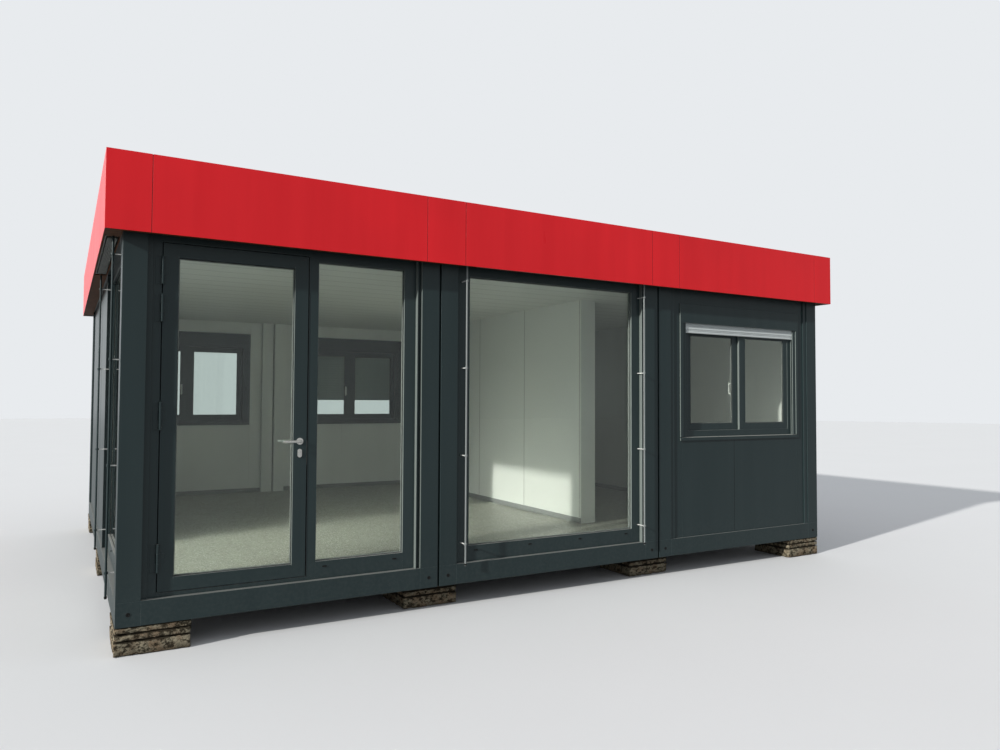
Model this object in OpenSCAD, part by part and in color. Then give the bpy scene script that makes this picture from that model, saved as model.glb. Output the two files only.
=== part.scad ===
// Shipping container cabin: three joined container modules with a red fascia

/* [Modules] */
// Number of container modules side by side
mods = 3; // [3:1:4]
// Width of one module across its short end
mod_w = 2435; // [2400:5:2500]
// Length of one module from front to back
mod_l = 6058; // [5700:1:6400]
// Height of one module from its floor frame to its roof frame
mod_h = 2960; // [2900:5:3050]
// Gap between two neighbouring modules
mod_gap = 20; // [12:1:30]

/* [Steel frame] */
// Width of a corner post on each outer face
post_w = 160; // [140:5:180]
// Sheet thickness of the posts, beams and corner blocks
steel_t = 4; // [3:1:6]
// Height of the floor frame
floor_beam_h = 170; // [150:5:190]
// Height of the roof frame
roof_beam_h = 200; // [190:5:210]
// Width of the beam flanges towards the inside
beam_w = 120; // [110:5:130]
// How deep the joint strips lie behind the post faces
strip_recess = 30; // [10:5:50]
// Thickness of the joint strips
strip_t = 20; // [5:5:40]

/* [Foundation] */
// Side of one square concrete slab
slab_w = 500; // [400:10:560]
// Thickness of one concrete slab
slab_t = 50; // [40:5:60]
// Slabs in each stack
slab_layers = 4; // [3:1:5]
// Worn edge of a slab
slab_edge = 4; // [2:1:8]
// How far the front left stack sticks out past the left side
slab_out = 5; // [0:5:60]
// How far the front stacks under the joints are set back
slab_setback = 150; // [0:10:300]

/* [Floor, ceiling and roof] */
// Thickness of the floor cassette between the beams
deck_t = 140; // [100:5:145]
// Thickness of the floor covering that lies over the beams
finish_t = 10; // [5:1:15]
// Thickness of the ceiling panels
ceiling_t = 20; // [15:1:30]
// Thickness of the roof cassette
roof_t = 180; // [150:5:185]
// Height of the standing seams on the roof sheet
seam_h = 18; // [10:1:18]
// Thickness of a standing seam
seam_w = 20; // [10:1:30]
// Standing seams on each module
seams = 3; // [2:1:5]
// Width of the cap over the joint of two roofs
cap_w = 160; // [140:5:200]
// Height of the cap over the joint of two roofs
cap_h = 15; // [8:1:30]

/* [Walls] */
// Thickness of an insulated wall panel
wall_t = 70; // [60:5:100]
// How deep the wall panels lie behind the post faces
wall_recess = 20; // [15:1:30]
// Joint between two wall panels
panel_gap = 1; // [1:0.5:2]
// Panels behind the side glazing on the left wall
left_panels = 3; // [2:1:4]
// Panels of the right wall
right_panels = 5; // [4:1:6]
// Width of the cover strips beside the posts
edge_strip_w = 52; // [30:1:60]
// Thickness of the cover strips
edge_strip_t = 12; // [8:1:14]
// How far the panel joint below a window lies left of the window's middle
panel_joint_off = 125; // [0:5:200]
// Thickness of the partition between the second and third module
partition_t = 200; // [150:5:240]
// Width of the passage between the partition and the front
passage_w = 1200; // [900:10:1500]

/* [Glazing] */
// Depth of the glazing frames
frame_d = 70; // [60:5:90]
// How deep the glazing frames lie behind the post faces
frame_recess = 50; // [40:5:60]
// Width of the frame members around the fixed panes
frame_m = 140; // [100:5:160]
// Height of the frame members above the fixed panes
frame_head = 90; // [70:5:110]
// Thickness of the double glass units
glass_t = 28; // [24:1:36]
// Glass lies this far behind the outer face of its frame
glass_in = 22; // [15:1:30]
// Depth of the groove that holds the glass
glass_seat = 12; // [8:1:16]
// Clearance of the glass in its groove
glass_gap = 0.3; // [0.2:0.1:0.6]
// Joint between two members of one frame
joint_gap = 0.4; // [0.2:0.1:0.8]
// Length of the glazed element on the left side
side_glazing_l = 2140; // [1800:10:2400]
// Width of the cover profiles that close a glazed bay beside its posts
cover_w = 38; // [30:1:45]
// How deep the cover profiles lie behind the post faces
cover_recess = 37; // [20:1:39]
// How deep the fin of a cover profile lies behind the post faces
fin_recess = 8; // [5:1:15]
// Thickness of the fin of a cover profile
fin_t = 5; // [3:1:8]

/* [Door] */
// Width of the door leaf
leaf_w = 1053; // [900:1:1100]
// Height of the frame's head above the door leaf
door_head_h = 54; // [40:1:150]
// Thickness of the door leaf
leaf_t = 70; // [60:5:75]
// Height of the threshold below the leaf
threshold_h = 29; // [20:1:30]
// Width of the leaf's stiles
stile_w = 105; // [90:5:120]
// Height of the leaf's upper and lower rails
rail_h = 100; // [90:5:120]
// Width of the door frame's left jamb
jamb_w = 99; // [85:1:120]
// Gap beside the hinges and above and below the leaf
leaf_gap = 6; // [5:0.5:8]
// Gap beside the latch
latch_gap = 9; // [8:0.5:12]
// Width of the mullion between the door and the side light
mullion_w = 73; // [60:1:90]
// The frame's stop behind the leaf
stop_t = 15; // [10:1:20]
// How far the stop reaches behind the leaf's edge
stop_reach = 20; // [12:1:24]
// Clearance between the leaf and the stop
stop_gap = 5; // [4:0.5:8]
// How far the leaf stands in front of its frame
leaf_proud = 5; // [0:1:8]
// Height of the panel below the side light
sidelight_sill = 137; // [100:1:160]

/* [Hinges and handle] */
// Length of one hinge
hinge_l = 200; // [150:5:210]
// Height of the lowest hinge's middle above the floor frame's lower edge
hinge_low = 446; // [400:1:600]
// Height of the second hinge's middle
hinge_mid = 1455; // [1100:1:1700]
// Distance from the leaf's upper edge down to the third hinge's middle
hinge_high_drop = 471; // [440:1:700]
// Distance from the leaf's upper edge down to the highest hinge's middle
hinge_top_drop = 200; // [150:1:230]
// Radius of the hinge barrel
barrel_r = 11; // [9:0.5:13]
// Radius of the hinge pin
pin_r = 6; // [4:0.5:7]
// Running clearance of pins and spindles in their holes
run_gap = 0.1; // [0.05:0.01:0.1]
// Gap between two hinge knuckles
knuckle_gap = 1; // [0.5:0.1:2]
// Thickness of the hinge plates
plate_t = 3; // [2:0.5:4]
// Width of the hinge plates
plate_w = 46; // [35:1:50]
// Height of the handle above the floor frame's lower edge
handle_z = 1252; // [1100:2:1300]
// Distance from the leaf's edge to the spindle
handle_in = 54; // [45:1:60]
// Length of the lever
lever_l = 140; // [120:5:150]
// Radius of the lever's round bar
lever_r = 9.5; // [8:0.5:11]
// How far the lever stands off its rosette
lever_off = 48; // [40:1:60]
// Radius of the bend between neck and lever
lever_bend = 20; // [14:1:26]
// Radius of the spindle inside the leaf
spindle_r = 5; // [4:0.5:7]
// Radius of the hole for the spindle
spindle_hole_r = 10; // [8:0.5:12]
// Radius of the round rosette
rosette_r = 26; // [22:1:30]
// Thickness of the rosettes
rosette_t = 8; // [5:1:10]
// Distance from the spindle down to the key cylinder
cylinder_drop = 92; // [70:1:100]
// Height of the oval plate round the key cylinder
key_plate_h = 66; // [50:1:80]
// Radius of the oval plate's ends
key_plate_r = 16; // [13:1:20]
// Radius of the key cylinder
key_r = 8.5; // [7:0.5:10]

/* [Windows] */
// Wall beside a window, from the post to the surround's clear opening
win_margin = 180; // [150:5:260]
// Wall between a shutter box and the roof frame
win_drop = 160; // [130:5:300]
// Height of the window frame
win_h = 1195; // [1000:5:1200]
// Height of the shutter box
box_h = 200; // [160:5:205]
// Width of the surround's flange on the wall
flange_w = 38; // [25:1:45]
// How far the flange stands in front of the wall
flange_t = 12; // [6:1:14]
// Thickness of the surround's web in the wall
web_t = 10; // [5:1:14]
// Width of a shutter guide
guide_w = 45; // [35:1:60]
// Depth of a shutter guide
guide_d = 33; // [28:1:36]
// Side members of the window frame
win_side = 100; // [80:1:110]
// Lower member of the window frame
win_bottom = 65; // [50:1:80]
// Upper member of the window frame
win_top = 50; // [40:1:80]
// Depth of the window frame
win_d = 62; // [58:1:70]
// Members of a sash
sash_m = 70; // [55:1:80]
// Meeting stiles of the two sashes
meeting_m = 90; // [70:1:100]
// Depth of a sash
sash_d = 26; // [22:1:28]
// Overlap of the two meeting stiles
sash_lap = 8; // [0:1:20]
// Thickness of the glass in a sash
sash_glass_t = 16; // [10:1:18]
// Height of one shutter slat
slat_h = 38; // [30:1:45]
// Thickness of a shutter slat
slat_t = 10; // [8:1:11]
// Slats that hang below the box of a raised shutter
raised_slats = 3; // [2:1:4]
// Slats that hang below the box of the lowered shutter
lowered_slats = 22; // [10:1:26]

/* [Fascia] */
// How far the fascia stands out from the modules on every side
overhang = 120; // [110:5:150]
// How far the fascia's lower edge lies below the top of the roof frame
fascia_drop = 230; // [215:1:240]
// Height of the fascia
fascia_h = 550; // [500:5:600]
// Thickness of the fascia sheets
fascia_t = 4; // [3:1:6]
// Depth of the fold along the upper edge
coping_d = 60; // [40:1:80]
// Joint between two fascia panels
fascia_gap = 4; // [3:0.5:8]
// Length of a corner panel's leg
corner_leg = 290; // [260:5:320]
// Length of the filler panels over the module joints
filler_l = 360; // [300:5:400]
// Panels between the corners on each side
side_fascia_panels = 3; // [2:1:4]
// Thickness of the soffit boards
soffit_t = 12; // [9:1:18]
// Height of the soffit boards above the fascia's lower edge
soffit_up = 15; // [10:1:18]
// Side of the square tubes that carry the fascia
tube_w = 25; // [20:1:30]
// Wall of the square tubes
tube_t = 3; // [2:1:4]
// Brackets along the front and along the back
front_brackets = 7; // [4:1:9]
// Brackets along each side
side_brackets = 5; // [3:1:7]
// How far the bracket arms lie on the roof frame
arm_reach = 80; // [60:5:95]

/* [Blinds] */
// Distance of a guide rod from the end of its bay
rod_in = 60; // [40:5:90]
// Radius of a guide rod
rod_r = 8; // [6:0.5:10]
// Distance of the rods in front of the post faces
rod_off = 50; // [45:1:60]
// Height of the rods' lower ends above the floor frame's lower edge
rod_z = 160; // [140:5:200]
// Height of the lowest rod bracket
bracket_z = 343; // [300:1:380]
// Distance from the fascia's lower edge down to the highest rod bracket
bracket_drop = 116; // [60:1:200]
// Brackets on each rod
rod_brackets = 4; // [3:1:5]
// Side of a rod bracket's arm
bracket_w = 8; // [6:1:10]
// Radius of a rod bracket's clamp
clamp_r = 13; // [11:0.5:16]
// Width of the blinds' slats
blind_w = 68; // [50:2:72]
// Distance between a guide rod and the raised bundle of slats
blind_end = 110; // [60:5:140]
// Slats in a raised bundle
blind_slats_n = 22; // [12:1:28]
// Height of a blind's head rail
blind_head = 45; // [40:1:58]
// Distance of a blind's slot in the soffit from the fascia's outer face
slot_edge = 20; // [10:1:24]
// Gap between the raised bundle and its slot on the modules' side
slot_gap = 8; // [4:1:12]

/* [Hidden] */
$fn = 48;

anthracite = [0.17, 0.20, 0.22];
red = [0.80, 0.11, 0.16];
brown = [0.33, 0.23, 0.20];
concrete = [0.62, 0.60, 0.56];
white = [0.88, 0.89, 0.88];
vinyl = [0.58, 0.57, 0.54];
clear = [0.60, 0.70, 0.72, 0.35];
silver = [0.80, 0.82, 0.82];
steel = [0.62, 0.64, 0.65];
galvanised = [0.66, 0.68, 0.68];

cabin_w = mods * mod_w + (mods - 1) * mod_gap;
base_z = slab_layers * slab_t;
beam_top = base_z + floor_beam_h;
head_z = base_z + mod_h - roof_beam_h;
top_z = base_z + mod_h;
floor_z = beam_top + finish_t;
ceiling_z = head_z - ceiling_t;
bay_w = mod_w - 2 * post_w;
bay_h = head_z - beam_top;
fascia_z = mod_h - fascia_drop;
win_sill = mod_h - roof_beam_h - win_drop - box_h - win_h;
wall_in = wall_recess + wall_t;
last = mods - 1;

// Left edge of a module
function mod_x(i) = i * (mod_w + mod_gap);
// Middle of a module's front
function bay_mid(i) = mod_x(i) + mod_w / 2;
// Left edge of a module's bay between the posts
function bay_x(i) = mod_x(i) + post_w;
// Middle of the joint between module i and the next one
function joint_x(i) = mod_x(i + 1) - mod_gap / 2;

// Moves cabin coordinates to the part's origin under the middle of the roof's outline
module cabin() translate([-cabin_w / 2, -mod_l / 2, 0]) children();
// A box from its low corner to its high corner
module block(lo, hi) translate(lo) cube(hi - lo);
// Extrudes an outline of depth and height along X
module along_x(length) rotate([90, 0, 90]) linear_extrude(length) children();
// Extrudes an outline of X and height along Y
module along_y(length) translate([0, length, 0]) rotate([90, 0, 0]) linear_extrude(length) children();
// Shows a front element also on the back
module from_back() translate([0, mod_l, 0]) mirror([0, 1, 0]) children();
// Turns a front element, with its outer face at y = 0, onto the left side
module on_left() mirror([1, -1, 0]) children();
// The same element on the left and on the right side of a module or of the cabin
module both_sides(width) {
    children();
    translate([width, 0, 0]) mirror([1, 0, 0]) children();
}
module both_ends() {
    children();
    from_back() children();
}

// Open steel channel, its web at the outer face and its flanges to the inside
module channel_outline(height)
    polygon([
        [0, 0], [beam_w, 0], [beam_w, steel_t], [steel_t, steel_t],
        [steel_t, height - steel_t], [beam_w, height - steel_t], [beam_w, height], [0, height]
    ]);

module slab()
    intersection() {
        translate([0, slab_w / 2, 0]) along_x(slab_w) slab_outline();
        translate([slab_w / 2, 0, 0]) along_y(slab_w) slab_outline();
    }
module slab_outline()
    polygon([
        [-slab_w / 2 + slab_edge, 0], [slab_w / 2 - slab_edge, 0],
        [slab_w / 2, slab_edge], [slab_w / 2, slab_t - slab_edge],
        [slab_w / 2 - slab_edge, slab_t], [-slab_w / 2 + slab_edge, slab_t],
        [-slab_w / 2, slab_t - slab_edge], [-slab_w / 2, slab_edge]
    ]);

module slab_stacks() color(concrete) cabin() {
    rows = [0, (mod_l - slab_w) / 2, mod_l - slab_w];
    for (i = [0:mods]) {
        x = i == 0 ? -slab_out : i == mods ? cabin_w - slab_w + slab_out : joint_x(i - 1) - slab_w / 2;
        inner = i > 0 && i < mods;
        for (r = [0:2], k = [0:slab_layers - 1]) {
            back = r == 0 && inner ? slab_setback : r == 2 && inner ? -slab_setback : 0;
            translate([x, rows[r] + back, k * slab_t]) slab();
        }
    }
}

// Welded block at a frame corner, open to the two beams
module corner_block(height)
    difference() {
        cube([post_w, post_w, height]);
        translate([2 * steel_t, 2 * steel_t, 2 * steel_t])
            cube([post_w, post_w, height - 4 * steel_t]);
    }
module corner_blocks() color(anthracite) cabin()
    for (i = [0:last]) translate([mod_x(i), 0, 0]) both_ends() both_sides(mod_w) {
        translate([0, 0, base_z]) corner_block(floor_beam_h);
        translate([0, 0, head_z]) corner_block(roof_beam_h);
    }

module side_beams(z, height) cabin()
    for (i = [0:last]) translate([mod_x(i), post_w, z]) both_sides(mod_w)
        along_y(mod_l - 2 * post_w) channel_outline(height);
module end_beams(z, height) cabin()
    for (i = [0:last]) both_ends() translate([bay_x(i), 0, z])
        along_x(bay_w) channel_outline(height);
module floor_side_beams() color(anthracite) side_beams(base_z, floor_beam_h);
module floor_end_beams() color(anthracite) end_beams(base_z, floor_beam_h);
module roof_side_beams() color(anthracite) side_beams(head_z, roof_beam_h);
module roof_end_beams() color(anthracite) end_beams(head_z, roof_beam_h);

module corner_posts() color(anthracite) cabin()
    for (i = [0:last]) translate([mod_x(i), 0, beam_top]) both_ends() both_sides(mod_w)
        linear_extrude(bay_h) difference() {
            square(post_w);
            translate([steel_t, steel_t]) square(post_w - 2 * steel_t);
        }

// Room between the beams of one module, cut round its corner blocks
module between_beams(z, height)
    difference() {
        children();
        both_ends() both_sides(mod_w) block([0, 0, z - 1], [post_w, post_w, z + height + 1]);
    }
module floor_decks() color(vinyl) cabin()
    for (i = [0:last]) translate([mod_x(i), 0, 0]) between_beams(beam_top - deck_t, deck_t)
        block([beam_w, beam_w, beam_top - deck_t], [mod_w - beam_w, mod_l - beam_w, beam_top]);

// Plan of the room between the walls, cut round the posts at the module joints
module room_outline(x0, x1)
    difference() {
        translate([x0, frame_recess + frame_d + stop_t + stop_gap])
            square([x1 - x0, mod_l - wall_in - frame_recess - frame_d - stop_t - stop_gap]);
        for (i = [0:last], x = [mod_x(i), mod_x(i) + mod_w - post_w], y = [0, mod_l - post_w])
            translate([x, y]) square(post_w);
        translate([0, post_w]) square([frame_recess + frame_d, side_glazing_l]);
    }
module floor_finish() color(vinyl) cabin() translate([0, 0, beam_top])
    linear_extrude(finish_t) room_outline(wall_in, cabin_w - wall_in);
module ceiling_panels() color(white) cabin() translate([0, 0, ceiling_z])
    for (i = [0:last]) linear_extrude(ceiling_t) room_outline(
        i == 0 ? wall_in : joint_x(i - 1) + panel_gap / 2,
        i == last ? cabin_w - wall_in : joint_x(i) - panel_gap / 2);

// Roof cassette with its standing seams, in width and height
module roof_outline() {
    width = mod_w - 2 * beam_w;
    square([width, roof_t]);
    for (k = [1:seams])
        translate([k * width / (seams + 1) - seam_w / 2, 0]) square([seam_w, roof_t + seam_h]);
}
module roof_sheets() color(galvanised) cabin()
    for (i = [0:last]) translate([mod_x(i), 0, 0]) between_beams(head_z, roof_beam_h)
        translate([beam_w, beam_w, head_z]) along_y(mod_l - 2 * beam_w) roof_outline();
module roof_joint_caps() color(galvanised) cabin()
    for (i = [0:last - 1])
        translate([joint_x(i) - cap_w / 2, beam_w, top_z]) along_y(mod_l - 2 * beam_w)
            polygon([[0, 0], [cap_w, 0], [cap_w - cap_h, cap_h], [cap_h, cap_h]]);
module joint_strips() color(anthracite) cabin()
    for (i = [0:last - 1]) both_ends()
        block([joint_x(i) - mod_gap / 2, strip_recess, base_z],
              [joint_x(i) + mod_gap / 2, strip_recess + strip_t, top_z]);

// Fascia sheet in depth and height: outer face at 0, upper fold to the inside
module fascia_outline()
    polygon([
        [0, 0], [fascia_t, 0], [fascia_t, fascia_h - fascia_t], [coping_d, fascia_h - fascia_t],
        [coping_d, fascia_h], [0, fascia_h]
    ]);
// Straight panel along X from x0 to x1
module fascia_panel(x0, x1)
    translate([x0 + fascia_gap / 2, -overhang, base_z + fascia_z])
        along_x(x1 - x0 - fascia_gap) fascia_outline();
// Corner panel in plan at one height: two legs from the outer corner
module corner_legs(depth)
    polygon([
        [0, 0], [corner_leg - fascia_gap / 2, 0], [corner_leg - fascia_gap / 2, depth],
        [depth, depth], [depth, corner_leg - fascia_gap / 2], [0, corner_leg - fascia_gap / 2]
    ]);
module fascia_front_row()
    for (i = [0:last]) fascia_panel(
        i == 0 ? corner_leg - overhang : joint_x(i - 1) + filler_l / 2,
        i == last ? cabin_w + overhang - corner_leg : joint_x(i) - filler_l / 2);
module fascia_front_panels() color(red) cabin() fascia_front_row();
module fascia_back_panels() color(red) cabin() from_back() fascia_front_row();
module fascia_filler_panels() color(red) cabin()
    for (i = [0:last - 1]) both_ends()
        fascia_panel(joint_x(i) - filler_l / 2, joint_x(i) + filler_l / 2);
module fascia_side_panels() color(red) cabin() both_sides(cabin_w) on_left() {
    start = corner_leg - overhang;
    step = (mod_l - 2 * start) / side_fascia_panels;
    for (k = [0:side_fascia_panels - 1]) fascia_panel(start + k * step, start + (k + 1) * step);
}
module fascia_corner_panels() color(red) cabin() both_ends() both_sides(cabin_w)
    translate([-overhang, -overhang, base_z + fascia_z]) {
        linear_extrude(fascia_h) corner_legs(fascia_t);
        translate([0, 0, fascia_h - fascia_t]) linear_extrude(fascia_t) corner_legs(coping_d);
    }

tube_y = -overhang + fascia_t;
soffit_z = base_z + fascia_z + soffit_up;
low_rail_z = soffit_z + soffit_t;
high_rail_z = base_z + fascia_z + fascia_h - fascia_t - tube_w;
arm_z = top_z - 2 * tube_w;
module tube_outline()
    difference() {
        square(tube_w);
        translate([tube_t, tube_t]) square(tube_w - 2 * tube_t);
    }
module fascia_rails() color(galvanised) cabin()
    for (z = [low_rail_z, high_rail_z]) {
        both_ends() translate([tube_y, tube_y, z]) along_x(cabin_w - 2 * tube_y) tube_outline();
        both_sides(cabin_w) on_left()
            translate([tube_y + tube_w + joint_gap, tube_y, z])
                along_x(mod_l - 2 * (tube_y + tube_w + joint_gap)) tube_outline();
    }
// Upright behind the fascia with an arm to the roof frame's face and one on top of it
module fascia_bracket(x) {
    half = tube_w / 2;
    block([x - half, tube_y, low_rail_z + tube_w], [x + half, tube_y + tube_w, high_rail_z]);
    block([x - half, tube_y, arm_z], [x + half, 0, arm_z + tube_w]);
    block([x - half, tube_y, top_z], [x + half, arm_reach, top_z + tube_w]);
}
module bracket_row(length, count) {
    ends = corner_leg - overhang;
    for (k = [0:count - 1]) fascia_bracket(ends + k * (length - 2 * ends) / (count - 1));
}
module fascia_brackets() color(galvanised) cabin() {
    both_ends() bracket_row(cabin_w, front_brackets);
    both_sides(cabin_w) on_left() bracket_row(mod_l, side_brackets);
}
module soffit_boards() color(brown) cabin() difference() {
    union() {
        both_ends() block([tube_y, tube_y, soffit_z], [cabin_w - tube_y, 0, soffit_z + soffit_t]);
        both_sides(cabin_w)
            block([tube_y, joint_gap, soffit_z], [0, mod_l - joint_gap, soffit_z + soffit_t]);
    }
    front_blind_place() blind_slot(bay_w);
    side_blind_place() blind_slot(side_glazing_l);
}
// Slot for a raised blind through the soffit board, and the holes for its guide rods
module blind_slot(width) {
    start = rod_in + 2 * rod_r;
    block([start, slot_edge - overhang, soffit_z - 1],
          [width - start, blind_w / 2 + slot_gap - rod_off, soffit_z + soffit_t + 1]);
    for (x = [rod_in, width - rod_in]) translate([x, -rod_off, soffit_z - 1])
        cylinder(r = rod_r + glass_gap, h = soffit_t + 2);
}

// Groove for a glass unit along a member's inner edge, in width and depth
module glass_groove(at)
    translate([at - glass_seat, glass_in - glass_gap]) square([2 * glass_seat, glass_t + 2 * glass_gap]);
// Frame member in width and depth, with glass grooves at the given inner edges
module member_outline(width, grooves)
    difference() {
        square([width, frame_d]);
        for (at = grooves) glass_groove(at);
    }
module upright(x, width, height, grooves)
    translate([x, 0, 0]) linear_extrude(height) member_outline(width, grooves);
// Horizontal member between two uprights, outlined in depth and height
module crossbar(x0, x1, z, height, groove)
    translate([x0 + joint_gap, 0, z]) along_x(x1 - x0 - 2 * joint_gap) difference() {
        square([frame_d, height]);
        translate([glass_in - glass_gap, groove - glass_seat])
            square([glass_t + 2 * glass_gap, 2 * glass_seat]);
    }
// Glass unit that reaches into the grooves around a clear opening
module glass_unit(x0, x1, z0, z1) {
    reach = glass_seat - glass_gap;
    block([x0 - reach, glass_in, z0 - reach], [x1 + reach, glass_in + glass_t, z1 + reach]);
}
// Fixed glazing of a whole bay
module fixed_frame(width) {
    upright(0, frame_m, bay_h, [frame_m]);
    upright(width - frame_m, frame_m, bay_h, [0]);
    crossbar(frame_m, width - frame_m, 0, sidelight_sill, sidelight_sill);
    crossbar(frame_m, width - frame_m, bay_h - frame_head, frame_head, 0);
}
module fixed_glass(width)
    glass_unit(frame_m, width - frame_m, sidelight_sill, bay_h - frame_head);
module front_glazing_place() translate([bay_x(1), frame_recess, beam_top]) children();
module side_glazing_place() on_left() translate([post_w, frame_recess, beam_top]) children();
module glazing_frames() color(anthracite) cabin() {
    front_glazing_place() fixed_frame(bay_w);
    side_glazing_place() fixed_frame(side_glazing_l);
}
module glazing_glass() color(clear) cabin() {
    front_glazing_place() fixed_glass(bay_w);
    side_glazing_place() fixed_glass(side_glazing_l);
}

// Door, in coordinates of the first bay: x from its left post, z from the floor frame's top
door_x0 = jamb_w;
leaf_x0 = door_x0 + leaf_gap;
leaf_x1 = leaf_x0 + leaf_w;
mullion_x = leaf_x1 + latch_gap;
light_x0 = mullion_x + mullion_w;
light_x1 = bay_w - frame_m;
leaf_z0 = threshold_h + leaf_gap;
door_head_z = bay_h - door_head_h;
leaf_z1 = door_head_z - leaf_gap;
leaf_h = leaf_z1 - leaf_z0;
stop_y = leaf_t - leaf_proud + stop_gap;
module door_place() translate([bay_x(0), frame_recess, beam_top]) children();

module door_frame() color(anthracite) cabin() door_place() {
    linear_extrude(bay_h) {
        square([jamb_w, frame_d]);
        translate([0, stop_y]) square([jamb_w + stop_reach, stop_t]);
    }
    translate([mullion_x, 0, 0]) linear_extrude(bay_h) {
        member_outline(mullion_w, [mullion_w]);
        translate([-stop_reach, stop_y]) square([stop_reach + mullion_w - glass_seat, stop_t]);
    }
    upright(light_x1, frame_m, bay_h, [0]);
    crossbar(light_x0, light_x1, 0, sidelight_sill, sidelight_sill);
    crossbar(light_x0, light_x1, bay_h - frame_head, frame_head, 0);
    door_bar(0, threshold_h, 0, threshold_h + stop_reach);
    door_bar(door_head_z, bay_h, door_head_z - stop_reach, bay_h);
}
// Threshold or head of the door, with its stop
module door_bar(z0, z1, stop_z0, stop_z1) {
    x0 = door_x0 + joint_gap;
    x1 = mullion_x - joint_gap;
    back = stop_y - joint_gap;
    block([x0, 0, z0], [x1, back, z1]);
    block([x0 + stop_reach, back, stop_z0], [x1 - stop_reach, stop_y + stop_t, stop_z1]);
}
module sidelight_glass() color(clear) cabin() door_place()
    glass_unit(light_x0, light_x1, sidelight_sill, bay_h - frame_head);

// Leaf, its outer face at y = 0
module leaf_place() door_place() translate([0, -leaf_proud, 0]) children();
spindle_x = leaf_x1 - handle_in;
spindle_z = handle_z - floor_beam_h;
leaf_glass_y = (leaf_t - glass_t) / 2;
module leaf_groove(at)
    translate([at - glass_seat, leaf_glass_y - glass_gap])
        square([2 * glass_seat, glass_t + 2 * glass_gap]);
module leaf_stile(x, groove)
    translate([x, 0, leaf_z0]) linear_extrude(leaf_h) difference() {
        square([stile_w, leaf_t]);
        leaf_groove(groove);
    }
module leaf_rail(z, groove)
    translate([leaf_x0 + stile_w + joint_gap, 0, z])
        along_x(leaf_w - 2 * stile_w - 2 * joint_gap) difference() {
            square([leaf_t, rail_h]);
            translate([leaf_glass_y - glass_gap, groove - glass_seat])
                square([glass_t + 2 * glass_gap, 2 * glass_seat]);
        }
module door_leaf() color(anthracite) cabin() leaf_place() {
    leaf_stile(leaf_x0, stile_w);
    difference() {
        leaf_stile(leaf_x1 - stile_w, 0);
        translate([spindle_x, -1, spindle_z]) rotate([-90, 0, 0]) cylinder(r = spindle_hole_r, h = leaf_t + 2);
    }
    leaf_rail(leaf_z0, rail_h);
    leaf_rail(leaf_z1 - rail_h, 0);
}
module door_glass() color(clear) cabin() leaf_place() {
    reach = glass_seat - glass_gap;
    block([leaf_x0 + stile_w - reach, leaf_glass_y, leaf_z0 + rail_h - reach],
          [leaf_x1 - stile_w + reach, leaf_glass_y + glass_t, leaf_z1 - rail_h + reach]);
}

// Lever on the outer side: neck from the leaf, bend, and bar towards the hinges
module lever() {
    neck = rosette_t + lever_off - lever_bend;
    rotate([90, 0, 0]) cylinder(r = lever_r, h = neck);
    translate([-lever_bend, -neck, 0]) rotate_extrude(angle = -90) translate([lever_bend, 0]) circle(r = lever_r);
    translate([-lever_bend, -neck - lever_bend, 0]) rotate([0, -90, 0]) cylinder(r = lever_r, h = lever_l - lever_bend);
}
module door_handle() color(steel) cabin() leaf_place() translate([spindle_x, 0, spindle_z]) {
    lever();
    translate([0, leaf_t, 0]) mirror([0, 1, 0]) lever();
    rotate([-90, 0, 0]) cylinder(r = spindle_r, h = leaf_t);
}
module rosette() rotate([90, 0, 0]) difference() {
    cylinder(r = rosette_r, h = rosette_t);
    translate([0, 0, -1]) cylinder(r = lever_r + run_gap, h = rosette_t + 2);
}
// Oval plate with the key cylinder standing out of it
module key_plate() rotate([90, 0, 0]) {
    reach = key_plate_h / 2 - key_plate_r;
    linear_extrude(rosette_t) {
        for (z = [-reach, reach]) translate([0, z]) circle(r = key_plate_r);
        translate([-key_plate_r, -reach]) square([2 * key_plate_r, 2 * reach]);
    }
    cylinder(r = key_r, h = rosette_t + plate_t);
}
module door_lock_plates() color(steel) cabin() leaf_place() translate([spindle_x, 0, spindle_z])
    for (side = [0, 1]) translate([0, side * leaf_t, 0]) mirror([0, side, 0]) {
        rosette();
        translate([0, 0, -cylinder_drop]) key_plate();
    }

// Hinges: the axis lies in the gap beside the leaf, in front of its outer face
hinge_x = leaf_x0 - leaf_gap / 2;
hinge_y = -leaf_proud - plate_t - barrel_r;
knuckle_l = (hinge_l - 2 * knuckle_gap) / 3;
module each_hinge() cabin() door_place()
    for (z = [
        hinge_low - floor_beam_h, hinge_mid - floor_beam_h, leaf_z1 - hinge_high_drop, leaf_z1 - hinge_top_drop
    ]) translate([hinge_x, hinge_y, z - hinge_l / 2]) children();
module knuckle(z, length) translate([0, 0, z]) cylinder(r = barrel_r, h = length);
module hinge_leaf_parts() color(anthracite) each_hinge() {
    z = knuckle_l + knuckle_gap;
    difference() {
        union() {
            knuckle(z, knuckle_l);
            block([0, barrel_r, z], [plate_w, barrel_r + plate_t, z + knuckle_l]);
            block([0, 0, z], [barrel_r, barrel_r + plate_t, z + knuckle_l]);
        }
        translate([0, 0, z - 1]) cylinder(r = pin_r + run_gap, h = knuckle_l + 2);
    }
}
module hinge_frame_parts() color(anthracite) each_hinge() {
    face = barrel_r + plate_t + leaf_proud;
    for (z = [0, 2 * (knuckle_l + knuckle_gap)]) {
        knuckle(z, knuckle_l);
        block([-barrel_r, 0, z], [-leaf_gap / 2, face, z + knuckle_l]);
    }
    block([-plate_w, face - plate_t, 0], [-barrel_r, face, hinge_l]);
    cylinder(r = pin_r, h = hinge_l);
}

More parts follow.
